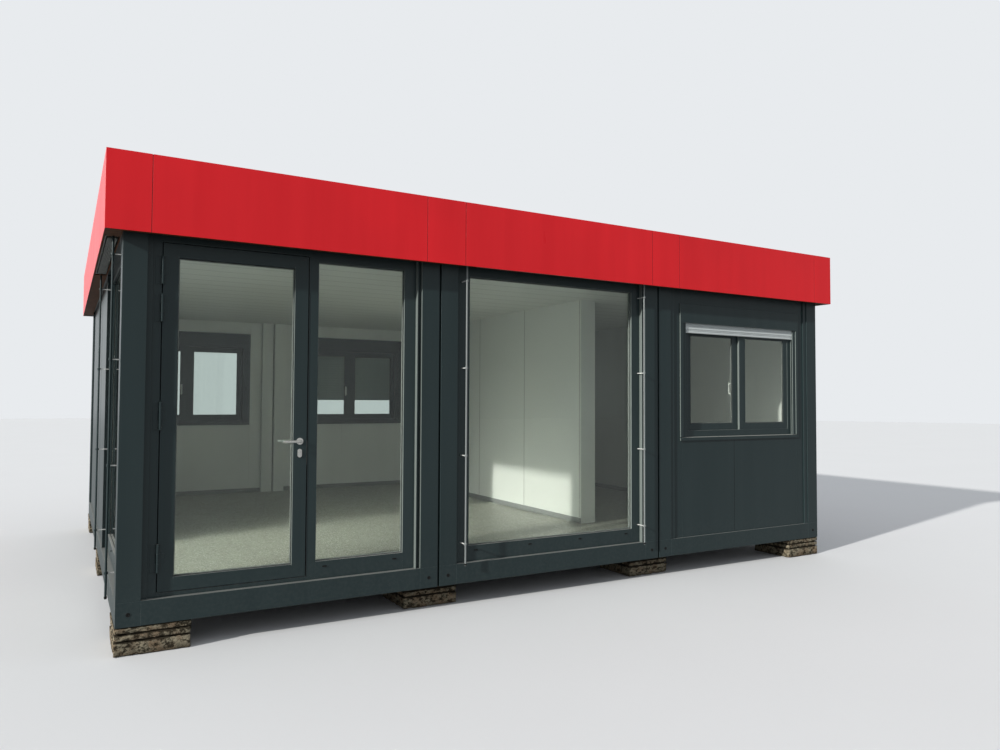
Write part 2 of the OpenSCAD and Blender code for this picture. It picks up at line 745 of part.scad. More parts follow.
// Cover profiles at both ends of a glazed bay, the one at its right end with a fin
module bay_cover(width) {
    for (x = [0, width - cover_w])
        block([x, cover_recess, beam_top], [x + cover_w, frame_recess, head_z]);
    block([width - cover_w, fin_recess, beam_top], [width - cover_w + fin_t, frame_recess, head_z]);
}
module bay_covers() color(anthracite) cabin() {
    for (i = [0, 1]) translate([bay_x(i), 0, 0]) bay_cover(bay_w);
    on_left() translate([post_w, 0, 0]) bay_cover(side_glazing_l);
}

// Outside blinds, in coordinates of one glazed bay
module front_blind_place() translate([bay_x(1), 0, 0]) children();
module side_blind_place() on_left() translate([post_w, 0, 0]) children();
module rod_places(width)
    for (x = [rod_in, width - rod_in]) translate([x, -rod_off, base_z]) children();
module blind_bays() cabin() {
    front_blind_place() rod_places(bay_w) children();
    side_blind_place() rod_places(side_glazing_l) children();
}
blind_z = arm_z - blind_head;
module blind_rods() color(steel) blind_bays()
    translate([0, 0, rod_z]) cylinder(r = rod_r, h = blind_z - base_z - rod_z);
bracket_pitch = (fascia_z - bracket_drop - bracket_z) / (rod_brackets - 1);
module blind_brackets() color(steel) blind_bays()
    for (k = [0:rod_brackets - 1]) translate([0, 0, bracket_z + k * bracket_pitch]) {
        difference() {
            union() {
                translate([0, 0, -bracket_w / 2]) cylinder(r = clamp_r, h = bracket_w);
                block([-bracket_w / 2, 0, -bracket_w / 2],
                      [bracket_w / 2, rod_off + frame_recess, bracket_w / 2]);
            }
            translate([0, 0, -bracket_w]) cylinder(r = rod_r + glass_gap, h = 2 * bracket_w);
        }
    }
// Raised bundle of slats in depth and height, from the soffit's underside up to the head rail
module blind_bundle() {
    half = blind_w / 2;
    height = blind_z - soffit_z;
    pitch = height / blind_slats_n;
    right = [for (k = [0:blind_slats_n - 1], s = [0, 0.5]) [half - s * pitch, (k + s) * pitch]];
    left = [for (k = [blind_slats_n - 1:-1:0], s = [0.5, 0]) [s * pitch - half, (k + s) * pitch]];
    polygon(concat(right, [[half, height], [-half, height]], left));
}
// Blind of one bay: the bundle between the rods and the head rail on top of them
module blind(width) {
    bundle_x = rod_in + blind_end;
    rail_x = rod_in - 2 * rod_r;
    translate([bundle_x, -rod_off, soffit_z]) along_x(width - 2 * bundle_x) blind_bundle();
    block([rail_x, -rod_off - blind_w / 2, blind_z], [width - rail_x, blind_w / 2 - rod_off, arm_z]);
}
module blind_slats() color(anthracite) cabin() {
    front_blind_place() blind(bay_w);
    side_blind_place() blind(side_glazing_l);
}

// Window unit, in coordinates of a bay: x from its middle, y from the post faces
win_half = bay_w / 2 - win_margin;
win_z1 = win_sill + win_h;
surround_y = wall_recess - flange_t;
win_y = wall_recess + guide_d - 3;
hole_half = win_half + web_t;
hole_z0 = win_sill - web_t;
hole_z1 = win_z1 + box_h - flange_w;
module window_bays() cabin() translate([0, 0, base_z]) {
    translate([bay_mid(last), 0, 0]) children();
    for (i = [0:last]) from_back() translate([bay_mid(i), 0, 0]) children();
}
// Side of the surround with the shutter guide, in plan
module surround_side() {
    slot = slat_t + 3;
    difference() {
        union() {
            translate([win_half, surround_y]) square([flange_w, flange_t]);
            translate([win_half, surround_y]) square([web_t, win_y + win_d - surround_y]);
            translate([win_half - guide_w, win_y - guide_d]) square([guide_w, guide_d - 1]);
        }
        translate([win_half - guide_w - 1, win_y - guide_d / 2 - slot / 2]) square([guide_w / 2, slot]);
    }
}
// Extrusion along X, as long as the clear width and a given reach past it on both sides
module past_window(reach) translate([-win_half - reach, 0, 0]) along_x(2 * (win_half + reach)) children();
// Lower rail of the surround: a sill through the wall and a flange on it
module surround_sill() {
    top = win_sill - joint_gap;
    past_window(web_t) polygon([
        [surround_y, hole_z0], [win_y + win_d, hole_z0], [win_y + win_d, top],
        [win_y, top], [surround_y, top - web_t / 2]
    ]);
    past_window(flange_w) translate([surround_y, win_sill - flange_w])
        square([flange_t, flange_w - web_t]);
}
// Shutter box through the wall, open below where the slats come out, and its flange
module shutter_box() {
    depth = win_y + win_d - surround_y;
    height = hole_z1 - win_z1;
    mouth = slat_t + web_t;
    past_window(web_t) difference() {
        translate([surround_y, win_z1]) square([depth, height]);
        translate([surround_y + web_t, win_z1 + web_t]) square([depth - 2 * web_t, height - 2 * web_t]);
        translate([win_y - guide_d / 2 - mouth / 2, win_z1 - 1]) square([mouth, web_t + 2]);
    }
    past_window(flange_w) translate([surround_y, win_z1]) square([flange_t, box_h]);
}
module window_surrounds() color(anthracite) window_bays() {
    for (side = [0, 1]) mirror([side, 0, 0])
        translate([0, 0, win_sill]) linear_extrude(win_h - joint_gap) surround_side();
    surround_sill();
    shutter_box();
}
// Frame of two side members, a lower and an upper one
module window_frames() color(anthracite) window_bays() {
    y1 = win_y + win_d;
    g = joint_gap;
    for (side = [0, 1]) mirror([side, 0, 0])
        block([win_half - win_side, win_y, win_sill], [win_half - g, y1, win_z1 - g]);
    inner = win_half - win_side - g;
    block([-inner, win_y, win_sill], [inner, y1, win_sill + win_bottom]);
    block([-inner, win_y, win_z1 - win_top], [inner, y1, win_z1 - g]);
}
sash_x = win_half - win_side - joint_gap;
sash_z0 = win_sill + win_bottom + joint_gap;
sash_z1 = win_z1 - win_top - joint_gap;
sash_y = [win_y + 3, win_y + 3 + sash_d + 3];
// Sash from its outer edge to its meeting stile, on its own track
module sash(track) {
    y0 = sash_y[track];
    y1 = y0 + sash_d;
    g = joint_gap;
    block([-sash_lap / 2, y0, sash_z0], [meeting_m - sash_lap / 2, y1, sash_z1]);
    block([sash_x - sash_m, y0, sash_z0], [sash_x, y1, sash_z1]);
    x0 = meeting_m - sash_lap / 2 + g;
    x1 = sash_x - sash_m - g;
    block([x0, y0, sash_z0], [x1, y1, sash_z0 + sash_m]);
    block([x0, y0, sash_z1 - sash_m], [x1, y1, sash_z1]);
}
module window_sashes() color(anthracite) window_bays() {
    sash(0);
    mirror([1, 0, 0]) sash(1);
}
module sash_glass(track) {
    y = sash_y[track] + (sash_d - sash_glass_t) / 2;
    g = joint_gap;
    block([meeting_m - sash_lap / 2 + g, y, sash_z0 + sash_m + g],
          [sash_x - sash_m - g, y + sash_glass_t, sash_z1 - sash_m - g]);
}
module window_glass() color(clear) window_bays() {
    sash_glass(0);
    mirror([1, 0, 0]) sash_glass(1);
}
// Slats that hang in the guides, in depth and height, rounded on the outside
module slat_outline(count)
    for (k = [0:count - 1]) translate([0, -(k + 1) * slat_h]) {
        belly = slat_t / 4;
        polygon([
            [belly, 0], [0, slat_h * 0.3], [0, slat_h * 0.7], [belly, slat_h],
            [slat_t, slat_h], [slat_t, 0]
        ]);
    }
module shutter(count) {
    half = win_half - guide_w / 2 - 1;
    translate([-half, win_y - guide_d / 2 - slat_t / 2, win_z1 + web_t]) along_x(2 * half) slat_outline(count);
}
module shutter_slats() color(silver) cabin() translate([0, 0, base_z]) {
    translate([bay_mid(last), 0, 0]) shutter(raised_slats);
    for (i = [0:last]) from_back() translate([bay_mid(i), 0, 0])
        shutter(i == 1 ? lowered_slats : raised_slats);
}

// Wall of one bay with a window: piers beside it, panels below and above it
module window_wall() {
    y0 = wall_recess;
    y1 = wall_in;
    half = bay_w / 2;
    top = mod_h - roof_beam_h;
    for (side = [0, 1]) mirror([side, 0, 0])
        block([hole_half + panel_gap, y0, floor_beam_h], [half, y1, top]);
    for (span = [[-hole_half, -panel_joint_off - panel_gap], [-panel_joint_off, hole_half]])
        block([span[0], y0, floor_beam_h], [span[1], y1, hole_z0 - joint_gap]);
    block([-hole_half, y0, hole_z1 + joint_gap], [hole_half, y1, top]);
}
module front_wall_panels() color(anthracite) cabin() translate([bay_mid(last), 0, base_z]) window_wall();
module back_wall_panels() color(anthracite) cabin()
    for (i = [0:last]) from_back() translate([bay_mid(i), 0, base_z]) window_wall();
// Row of plain wall panels along X
module panel_row(x0, x1, count) {
    step = (x1 - x0) / count;
    for (k = [0:count - 1])
        block([x0 + k * step + (k == 0 ? 0 : panel_gap), wall_recess, beam_top],
              [x0 + (k + 1) * step, wall_in, head_z]);
}
module left_wall_panels() color(anthracite) cabin()
    on_left() panel_row(post_w + side_glazing_l, mod_l - post_w, left_panels);
module right_wall_panels() color(anthracite) cabin() translate([cabin_w, 0, 0]) mirror([1, 0, 0])
    on_left() panel_row(post_w, mod_l - post_w, right_panels);
// Cover strips where a panel wall meets a post
module edge_strip() block([0, wall_recess - edge_strip_t, beam_top], [edge_strip_w, wall_recess, head_z]);
module wall_edge_strips() color(anthracite) cabin() {
    translate([bay_x(last), 0, 0]) both_sides(bay_w) edge_strip();
    for (i = [0:last]) from_back() translate([bay_x(i), 0, 0]) both_sides(bay_w) edge_strip();
    both_sides(cabin_w) on_left() translate([mod_l - post_w - edge_strip_w, 0, 0]) edge_strip();
    translate([cabin_w, 0, 0]) mirror([1, 0, 0]) on_left() translate([post_w, 0, 0]) edge_strip();
}
module partition_wall() color(white) cabin()
    block([joint_x(1) - partition_t / 2, passage_w, floor_z],
          [joint_x(1) + partition_t / 2, mod_l - post_w, ceiling_z]);

slab_stacks();
corner_blocks();
floor_side_beams();
floor_end_beams();
floor_decks();
floor_finish();
corner_posts();
roof_side_beams();
roof_end_beams();
roof_sheets();
roof_joint_caps();
ceiling_panels();
joint_strips();
fascia_front_panels();
fascia_back_panels();
fascia_side_panels();
fascia_filler_panels();
fascia_corner_panels();
fascia_rails();
fascia_brackets();
soffit_boards();
door_frame();
sidelight_glass();
door_leaf();
door_glass();
door_handle();
door_lock_plates();
hinge_leaf_parts();
hinge_frame_parts();
glazing_frames();
glazing_glass();
bay_covers();
blind_rods();
blind_brackets();
blind_slats();
front_wall_panels();
back_wall_panels();
left_wall_panels();
right_wall_panels();
wall_edge_strips();
window_surrounds();
window_frames();
window_sashes();
window_glass();
shutter_slats();
partition_wall();
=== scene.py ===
"""Looks of the shipping container cabin, built round its CAD frame and laid out as an add-on."""

import math
import random

import bmesh
import bpy
from bpy.props import FloatProperty, FloatVectorProperty, IntProperty, PointerProperty
from bpy.types import Operator, Panel, PropertyGroup
from mathutils import Matrix, Vector, noise


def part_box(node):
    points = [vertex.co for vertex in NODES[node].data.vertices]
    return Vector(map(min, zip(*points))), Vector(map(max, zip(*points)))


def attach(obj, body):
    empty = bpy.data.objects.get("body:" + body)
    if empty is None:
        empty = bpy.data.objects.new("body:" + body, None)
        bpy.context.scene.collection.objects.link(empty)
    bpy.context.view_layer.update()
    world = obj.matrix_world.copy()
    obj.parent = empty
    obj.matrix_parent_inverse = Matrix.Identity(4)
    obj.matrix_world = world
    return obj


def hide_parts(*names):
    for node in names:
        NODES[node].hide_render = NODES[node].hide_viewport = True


bl_info = {
    "name": "Container cabin",
    "version": (1, 0, 0),
    "blender": (4, 5, 0),
    "location": "View3D > Sidebar > Cabin",
    "description": "Finishes and small parts of a cabin made of three joined container modules",
    "category": "Object",
}

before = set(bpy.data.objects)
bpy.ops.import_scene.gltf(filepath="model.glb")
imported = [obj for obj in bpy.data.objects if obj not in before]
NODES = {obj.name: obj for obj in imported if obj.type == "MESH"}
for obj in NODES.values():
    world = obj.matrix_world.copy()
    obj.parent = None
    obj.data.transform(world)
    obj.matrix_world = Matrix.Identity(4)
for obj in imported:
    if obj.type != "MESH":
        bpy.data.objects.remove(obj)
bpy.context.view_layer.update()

# Main planes of the cabin, read from the frame
(LEFT, FRONT, BEAM_TOP), (RIGHT, BACK, HEAD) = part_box("corner_posts")
BEAM_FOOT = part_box("corner_blocks")[0].z
WALL_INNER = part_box("front_wall_panels")[1].y - FRONT
FLOOR_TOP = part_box("floor_finish")[1].z
FASCIA_LOW, FASCIA_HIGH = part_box("fascia_corner_panels")

# Values and turns that several pieces share
TINY = 0.0005
PAINT_ROUGHNESS = 0.27
SLABS_IN_STACK = 4
METRE = {"subtype": "DISTANCE", "unit": "LENGTH"}
FRONT_OUT = Matrix.Identity(4)
LEFT_OUT = Matrix.Rotation(-math.pi / 2, 4, "Z")
BACK_OUT = Matrix.Rotation(math.pi, 4, "Z")
RIGHT_OUT = Matrix.Rotation(math.pi / 2, 4, "Z")
TO_FRONT = Matrix.Rotation(math.pi / 2, 4, "X")


def linear(*levels):
    """Scene colour of a screen colour given from 0 to 255."""
    return tuple(((v / 255 + 0.055) / 1.055) ** 2.4 if v > 10 else v / 3295 for v in levels)


def colour(name, description, *levels):
    return FloatVectorProperty(
        name=name, description=description, subtype="COLOR", size=3, min=0, max=1, default=linear(*levels)
    )


def length(name, description, default):
    return FloatProperty(name=name, description=description, default=default, min=0, **METRE)


def angle(name, description, degrees):
    return FloatProperty(
        name=name, description=description, default=math.radians(degrees), subtype="ANGLE", unit="ROTATION"
    )


def number(name, description, default):
    return FloatProperty(name=name, description=description, default=default)


class CabinColours(PropertyGroup):
    """Colours of the cabin's finishes."""

    anthracite: colour("Anthracite", "Paint of the steel frame, panels and glazing frames", 35, 51, 53)
    red: colour("Fascia", "Paint of the fascia sheets", 238, 17, 31)
    soffit: colour("Soffit", "Boards under the fascia", 112, 72, 46)
    lining: colour("Lining", "Inner faces of walls and ceiling", 226, 227, 222)
    floor: colour("Floor covering", "Base tone of the speckled floor covering", 158, 158, 144)
    concrete: colour("Concrete", "Foundation slabs", 152, 144, 123)
    moss: colour("Moss", "Growth and damp on the slabs", 40, 35, 25)
    # The dust colour on upward faces is partly dust and partly painted light.
    dust: colour("Dust", "Dust on ledges and splashes near the ground", 150, 151, 147)
    zinc: colour("Zinc", "Galvanised steel of roof and fascia frame", 168, 172, 173)
    stainless: colour("Stainless", "Handle and lock plates", 226, 226, 222)
    rod: colour("Rods", "Guide rods of the front blind", 128, 134, 134)
    clamp: colour("Clamps", "Brackets of the guide rods", 204, 206, 204)
    spacer: colour("Spacers", "Spacers between the two sheets of a pane", 132, 137, 134)
    shutter: colour("Shutter", "Slats of the roller shutters", 196, 204, 204)
    blind: colour("Blind", "Slats of the raised outside blind", 112, 115, 110)
    seal: colour("Seals", "Rubber seals and plugs", 18, 19, 20)
    seam: colour("Seams", "Seals in the joints of the fascia", 96, 14, 22)
    # Painted light: a lighter tone on reveals and side faces that stands in for sunlight on them.
    painted_reveal_light: colour("Rebates", "Reveals and side faces of profiles", 112, 121, 118)
    skirting: colour("Skirting", "Skirting boards", 128, 130, 128)
    glass: colour("Glass", "Tint of the panes", 222, 230, 226)
    stage: colour("Stage", "Floor and background", 222, 224, 226)


class CabinSizes(PropertyGroup):
    """Sizes of the small parts that the frame leaves to the looks."""

    slab_chip: length("Slab wear", "How far the edges of the slabs are worn away", 0.009)
    slab_rough: length("Slab roughness", "Unevenness of the slabs' faces", 0.004)
    slab_shift: length("Slab shift", "How far a slab lies out of its stack's line", 0.006)
    pane_seat: length("Pane seat", "How far a pane reaches into its frame", 0.0118)
    spacer_w: length("Spacer width", "Width of the silver spacer that shows in a pane", 0.006)
    gasket_w: length("Gasket width", "Width of the rubber beside a pane", 0.004)
    weep_in: length("Weep cap inset", "Distance of the outer weep caps from the pane's side", 0.073)
    weep_drop: length("Weep cap drop", "Distance of the weep caps below the pane", 0.042)
    weep_pitch: length("Weep cap pitch", "Largest distance between two weep caps", 0.6)
    plug_r: length("Plug radius", "Radius of the plugs in the frame corners", 0.0145)
    slat_h: length("Slat height", "Height of one shutter slat", 0.038)
    blind_head: length("Blind head", "Height of a blind's head box", 0.045)
    blind_pitch: length("Blind pitch", "Distance between two slats of a raised blind", 0.005)
    blind_rail: length("Blind rail", "Height of a blind's bottom rail", 0.014)
    seam_w: length("Seam width", "Width of the dark red seals in the fascia's joints", 0.0039)
    panel_seal_w: length("Panel seal width", "Width of the dark seals between wall panels", 0.0035)
    skirting_h: length("Skirting height", "Height of the skirting boards", 0.06)
    skirting_t: length("Skirting thickness", "Thickness of the skirting boards", 0.012)
    seed: IntProperty(name="Seed", description="Seed of all random shifts", default=7)


class CabinLights(PropertyGroup):
    """Camera and light of the stage."""

    sky: number("Sky", "Strength of the soft light all round", 0.63)
    gloss: number("Gloss", "Brightness in gloss of what lies before the front", 0.4)
    bounce: number("Bounce", "Share of light that the floor throws back", 0.17)
    sun: number("Sun", "Strength of the main lamp", 4.1)
    sun_side: angle("Sun side", "Lamp's angle from the front towards the left", 77)
    sun_height: angle("Sun height", "Lamp's angle above the horizon", 22)
    sun_spread: angle("Sun spread", "Softness of the lamp's shadows", 1.5)
    camera_place: FloatVectorProperty(
        name="Camera place", description="Where the camera stands", size=3,
        default=(-4.010, -8.858, 1.774), subtype="TRANSLATION", unit="LENGTH",
    )
    camera_yaw: angle("Camera yaw", "Camera's turn from straight ahead to the right", 30.07)
    camera_pitch: angle("Camera pitch", "Camera's tilt upwards", 1.96)
    camera_roll: angle("Camera roll", "Camera's turn about its own axis", 0.27)
    lens: number("Lens", "Focal length for a 36 mm sensor, in mm", 27.14)
    stage_r: length("Stage radius", "Radius of the pale floor", 70)


def colours():
    return bpy.context.scene.cabin_colours


def sizes():
    return bpy.context.scene.cabin_sizes


# Places taken from the frame


def solids(node):
    """Lowest and highest corner of each separate solid of a CAD node."""
    bm = bmesh.new()
    bm.from_mesh(NODES[node].data)
    bmesh.ops.remove_doubles(bm, verts=bm.verts, dist=1e-5)
    waiting = set(bm.verts)
    found = []
    while waiting:
        island = [waiting.pop()]
        for vert in island:
            near = {edge.other_vert(vert) for edge in vert.link_edges} & waiting
            waiting -= near
            island += sorted(near, key=lambda v: v.index)
        low = Vector(min(v.co[k] for v in island) for k in range(3))
        high = Vector(max(v.co[k] for v in island) for k in range(3))
        found.append((low, high))
    bm.free()
    return sorted(found, key=lambda box: [round(x, 4) for x in (*box[0], *box[1])])


def centre(low, high):
    return (low + high) / 2


def outward(low, high):
    """Turn that brings a front piece onto the wall in which this box lies, outer side out."""
    size = high - low
    middle = centre(low, high)
    if size.y < size.x:
        return FRONT_OUT if middle.y < 0 else BACK_OUT
    return LEFT_OUT if middle.x < 0 else RIGHT_OUT


def wall_place(low, high):
    """Matrix from wall coordinates to a box's outer face: X along the wall, Y inwards and Z up."""
    turn = outward(low, high)
    middle = centre(low, high)
    inward = turn @ Vector((0, 1, 0))
    depth = abs((high - low).dot(inward)) / 2
    return Matrix.Translation(middle - inward * depth) @ turn


def wall_size(low, high):
    """Width along the wall, depth and height of a box that lies in a wall."""
    size = high - low
    return (size.x, size.y, size.z) if size.y < size.x else (size.y, size.x, size.z)


# Mesh code


def block(size, bevel=0.0, segments=2):
    """A box about the origin with rounded edges."""
    bm = bmesh.new()
    bmesh.ops.create_cube(bm, size=1, matrix=Matrix.Diagonal((*size, 1)))
    if bevel:
        bmesh.ops.bevel(
            bm, geom=bm.edges[:], offset=bevel, segments=segments, profile=0.5,
            affect="EDGES", material=-1,
        )
    return bm


def ring(width, height, band, depth):
    """A rectangular ring in wall coordinates, its outer size given, from y = 0 inwards."""
    bm = bmesh.new()
    upright = Matrix.Rotation(math.pi / 2, 4, "X") @ Matrix.Diagonal((width, height, 1, 1))
    bmesh.ops.create_grid(bm, x_segments=1, y_segments=1, size=0.5, matrix=upright)
    bm.faces.ensure_lookup_table()
    middle = bm.faces[0]
    band_faces = bmesh.ops.inset_region(
        bm, faces=[middle], thickness=band, use_boundary=True, use_even_offset=True,
    )["faces"]
    bmesh.ops.delete(bm, geom=[middle], context="FACES_ONLY")
    grown = bmesh.ops.extrude_face_region(bm, geom=band_faces, use_keep_orig=True)["geom"]
    verts = [item for item in grown if isinstance(item, bmesh.types.BMVert)]
    bmesh.ops.translate(bm, verts=verts, vec=(0, depth, 0))
    return bm


def turned(outline, steps=20):
    """A round solid about the Z axis. The outline holds radii and heights from pole to pole."""
    bm = bmesh.new()
    verts = [bm.verts.new((radius, 0, height)) for radius, height in outline]
    edges = [bm.edges.new(pair) for pair in zip(verts, verts[1:])]
    bmesh.ops.spin(
        bm, geom=verts + edges, cent=(0, 0, 0), axis=(0, 0, 1), dvec=(0, 0, 0),
        angle=2 * math.pi, steps=steps, use_merge=True, use_duplicate=False,
    )
    return bm


def drawn(outline, run):
    """A closed outline of y and z points drawn out along X, its middle at the origin."""
    bm = bmesh.new()
    face = bm.faces.new([bm.verts.new((-run / 2, y, z)) for y, z in outline])
    grown = bmesh.ops.extrude_face_region(bm, geom=[face], use_keep_orig=True)["geom"]
    verts = [item for item in grown if isinstance(item, bmesh.types.BMVert)]
    bmesh.ops.translate(bm, verts=verts, vec=(run, 0, 0))
    return bm


def piece(name, finish, parts, body="building", smooth=35.0):
    """Makes an object of parts, each with its places, and lets it ride on a body."""
    whole = bmesh.new()
    for part, places in parts:
        bmesh.ops.remove_doubles(part, verts=part.verts, dist=1e-6)
        bmesh.ops.recalc_face_normals(part, faces=part.faces)
        for place in places:
            copy = bpy.data.meshes.new("copy")
            part.to_mesh(copy)
            copy.transform(place)
            whole.from_mesh(copy)
            bpy.data.meshes.remove(copy)
        part.free()
    for face in whole.faces:
        face.smooth = smooth > 0
    for edge in whole.edges:
        edge.smooth = edge.calc_face_angle(math.pi) < math.radians(smooth)
    mesh = bpy.data.meshes.new(name)
    whole.to_mesh(mesh)
    whole.free()
    mesh.materials.append(finishes()[finish])
    made = bpy.data.objects.new(name, mesh)
    bpy.context.scene.collection.objects.link(made)
    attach(made, body)
    return made


def at(*place):
    return Matrix.Translation(place)


def between(low, high):
    """Size and place of a box between two corners."""
    low, high = Vector(low), Vector(high)
    return high - low, Matrix.Translation(centre(low, high))


# Node code


def add(tree, kind, inputs=None, **settings):
    """A new node with its settings, its inputs given as values or as sockets to join."""
    node = tree.nodes.new(kind)
    for name, value in settings.items():
        setattr(node, name, value)
    for key, value in (inputs or {}).items():
        if isinstance(value, bpy.types.NodeSocket):
            tree.links.new(value, node.inputs[key])
        else:
            node.inputs[key].default_value = value
    return node


def maths(tree, operation, a, b=0.0, clamp=False):
    return add(tree, "ShaderNodeMath", {0: a, 1: b}, operation=operation, use_clamp=clamp).outputs[0]


def raised(tree, value, share, level, clamp=False):
    """Level plus a share of the value."""
    return maths(tree, "ADD", maths(tree, "MULTIPLY", value, share), level, clamp)


def mixed(tree, share, a, b):
    """Colour between a and b."""
    return add(tree, "ShaderNodeMix", {0: share, 6: a, 7: b}, data_type="RGBA").outputs[2]


def shade(base, factor):
    """Opaque colour for a socket, a base colour made darker or lighter."""
    return (*[min(1, v * factor) for v in base], 1)


def stepped(tree, value, start, end, low=0.0, high=1.0):
    """The value's way from start to end, as a smooth step from low to high."""
    node = add(
        tree, "ShaderNodeMapRange", {0: value, 1: start, 2: end, 3: low, 4: high},
        interpolation_type="SMOOTHSTEP",
    )
    return node.outputs[0]


def here(tree, stretch=(1, 1, 1)):
    """Object coordinates, in metres, stretched for a pattern with a direction."""
    place = add(tree, "ShaderNodeTexCoord").outputs["Object"]
    if tuple(stretch) == (1, 1, 1):
        return place
    return add(tree, "ShaderNodeMapping", {"Vector": place, "Scale": stretch}).outputs[0]


def noisy(tree, scale, detail=2.0, stretch=(1, 1, 1), rough=0.5):
    node = add(
        tree, "ShaderNodeTexNoise",
        {"Vector": here(tree, stretch), "Scale": scale, "Detail": detail, "Roughness": rough},
    )
    return node.outputs[0]


def parts_of(tree, vector):
    return add(tree, "ShaderNodeSeparateXYZ", {0: vector}).outputs


def node_group(name, inputs, outputs, build):
    """A shader node group, built once. Inputs are names with a socket kind and a default."""
    known = bpy.data.node_groups.get(name)
    if known:
        return known
    tree = bpy.data.node_groups.new(name, "ShaderNodeTree")
    for title, kind, default in inputs:
        socket = tree.interface.new_socket(title, in_out="INPUT", socket_type=kind)
        socket.default_value = default
    for title, kind in outputs:
        tree.interface.new_socket(title, in_out="OUTPUT", socket_type=kind)
    given = tree.nodes.new("NodeGroupInput")
    result = tree.nodes.new("NodeGroupOutput")
    for title, socket in build(tree, given.outputs).items():
        tree.links.new(socket, result.inputs[title])
    return tree


def grouped(tree, group, inputs=None):
    return add(tree, "ShaderNodeGroup", inputs, node_tree=group).outputs


FLOAT, COLOUR, VECTOR = "NodeSocketFloat", "NodeSocketColor", "NodeSocketVector"
GREY = (0.5, 0.5, 0.5, 1)


def inside_box():
    """Mask that is 1 inside a box between two corners."""

    def build(tree, given):
        point = parts_of(tree, here(tree))
        low = parts_of(tree, given["Low"])
        high = parts_of(tree, given["High"])
        mask = 1.0
        for axis in range(3):
            above = maths(tree, "GREATER_THAN", point[axis], low[axis])
            below = maths(tree, "LESS_THAN", point[axis], high[axis])
            mask = maths(tree, "MULTIPLY", mask, maths(tree, "MULTIPLY", above, below))
        return {"Mask": mask}

    inputs = [("Low", VECTOR, (0, 0, 0)), ("High", VECTOR, (1, 1, 1))]
    return node_group("inside_box", inputs, [("Mask", FLOAT)], build)


def weathering():
    """Rain streaks, cloudy fading, splashes above the ground, and dust on ledges that is partly painted light
    on upward faces.
    """

    def build(tree, given):
        cloud = stepped(tree, noisy(tree, 0.8, 3), 0.35, 0.65)
        streak = noisy(tree, 7.0, 4, (1, 1, 0.06))
        grit = noisy(tree, 38.0, 4)
        tone = maths(tree, "SUBTRACT", raised(tree, cloud, 0.5, streak), 0.75)
        tone = maths(tree, "MULTIPLY", tone, given["Streaks"])
        tone = maths(tree, "ADD", tone, 1.0)
        facing = add(tree, "ShaderNodeNewGeometry").outputs["Normal"]
        # Upward faces take the dust colour: partly dust on ledges, partly painted light on faces that look
        # up.
        ledge_dust_and_light = stepped(tree, parts_of(tree, facing)[2], 0.4, 0.9)
        height = parts_of(tree, here(tree))[2]
        above_foot = maths(tree, "SUBTRACT", height, BEAM_FOOT)
        splash = stepped(tree, maths(tree, "DIVIDE", above_foot, given["Splash"]), 1.0, 0.0)
        splash = maths(tree, "MULTIPLY", splash, stepped(tree, grit, 0.35, 0.7))
        dust = maths(tree, "ADD", ledge_dust_and_light, maths(tree, "MULTIPLY", splash, 0.06))
        dust = maths(tree, "ADD", dust, maths(tree, "MULTIPLY", streak, 0.06))
        dust = maths(tree, "MULTIPLY", dust, given["Dust"], clamp=True)
        toned = add(
            tree, "ShaderNodeVectorMath", {0: given["Color"], "Scale": tone}, operation="SCALE"
        ).outputs[0]
        return {"Color": mixed(tree, dust, toned, given["Dust Color"]), "Dust": dust, "Streak": streak}

    inputs = [
        ("Color", COLOUR, GREY), ("Dust Color", COLOUR, GREY), ("Dust", FLOAT, 0.5),
        ("Streaks", FLOAT, 0.1), ("Splash", FLOAT, 0.5),
    ]
    return node_group("weathering", inputs, [("Color", COLOUR), ("Dust", FLOAT), ("Streak", FLOAT)], build)


def paint_skin():
    """Height of sprayed paint in metres: fine orange peel over long waves of the sheet."""

    def build(tree, given):
        peel = maths(tree, "MULTIPLY", noisy(tree, 420.0, 2), 0.00003)
        wave = maths(tree, "MULTIPLY", noisy(tree, 1.6, 2, (1, 1, 0.5)), given["Wave"])
        return {"Height": maths(tree, "ADD", peel, wave)}

    return node_group("paint_skin", [("Wave", FLOAT, 0.001)], [("Height", FLOAT)], build)


def grain():
    """Streaky grain along one axis, as on brushed metal or printed boards."""

    def build(tree, given):
        vector = add(
            tree, "ShaderNodeVectorMath", {0: here(tree), 1: given["Stretch"]}, operation="MULTIPLY"
        ).outputs[0]
        fine = add(
            tree, "ShaderNodeTexNoise", {"Vector": vector, "Scale": 1.0, "Detail": 6.0, "Roughness": 0.6}
        )
        return {"Grain": stepped(tree, fine.outputs[0], 0.3, 0.7)}

    return node_group("grain", [("Stretch", VECTOR, (8, 200, 200))], [("Grain", FLOAT)], build)


def edge_wear():
    """Mask of thin lighter lines along edges, from the rounded and the true normal: partly worn paint, partly
    a painted highlight.
    """

    def build(tree, given):
        facing = add(tree, "ShaderNodeNewGeometry").outputs["True Normal"]
        along = add(
            tree, "ShaderNodeVectorMath", {0: given["Rounded"], 1: facing}, operation="DOT_PRODUCT"
        ).outputs["Value"]
        line = stepped(tree, along, 0.99, 0.86)
        patches = stepped(tree, noisy(tree, 18, 3), 0.25, 0.5, 0.5, 1.0)
        return {"Mask": maths(tree, "MULTIPLY", line, patches)}

    return node_group("edge_wear", [("Rounded", VECTOR, (0, 0, 1))], [("Mask", FLOAT)], build)


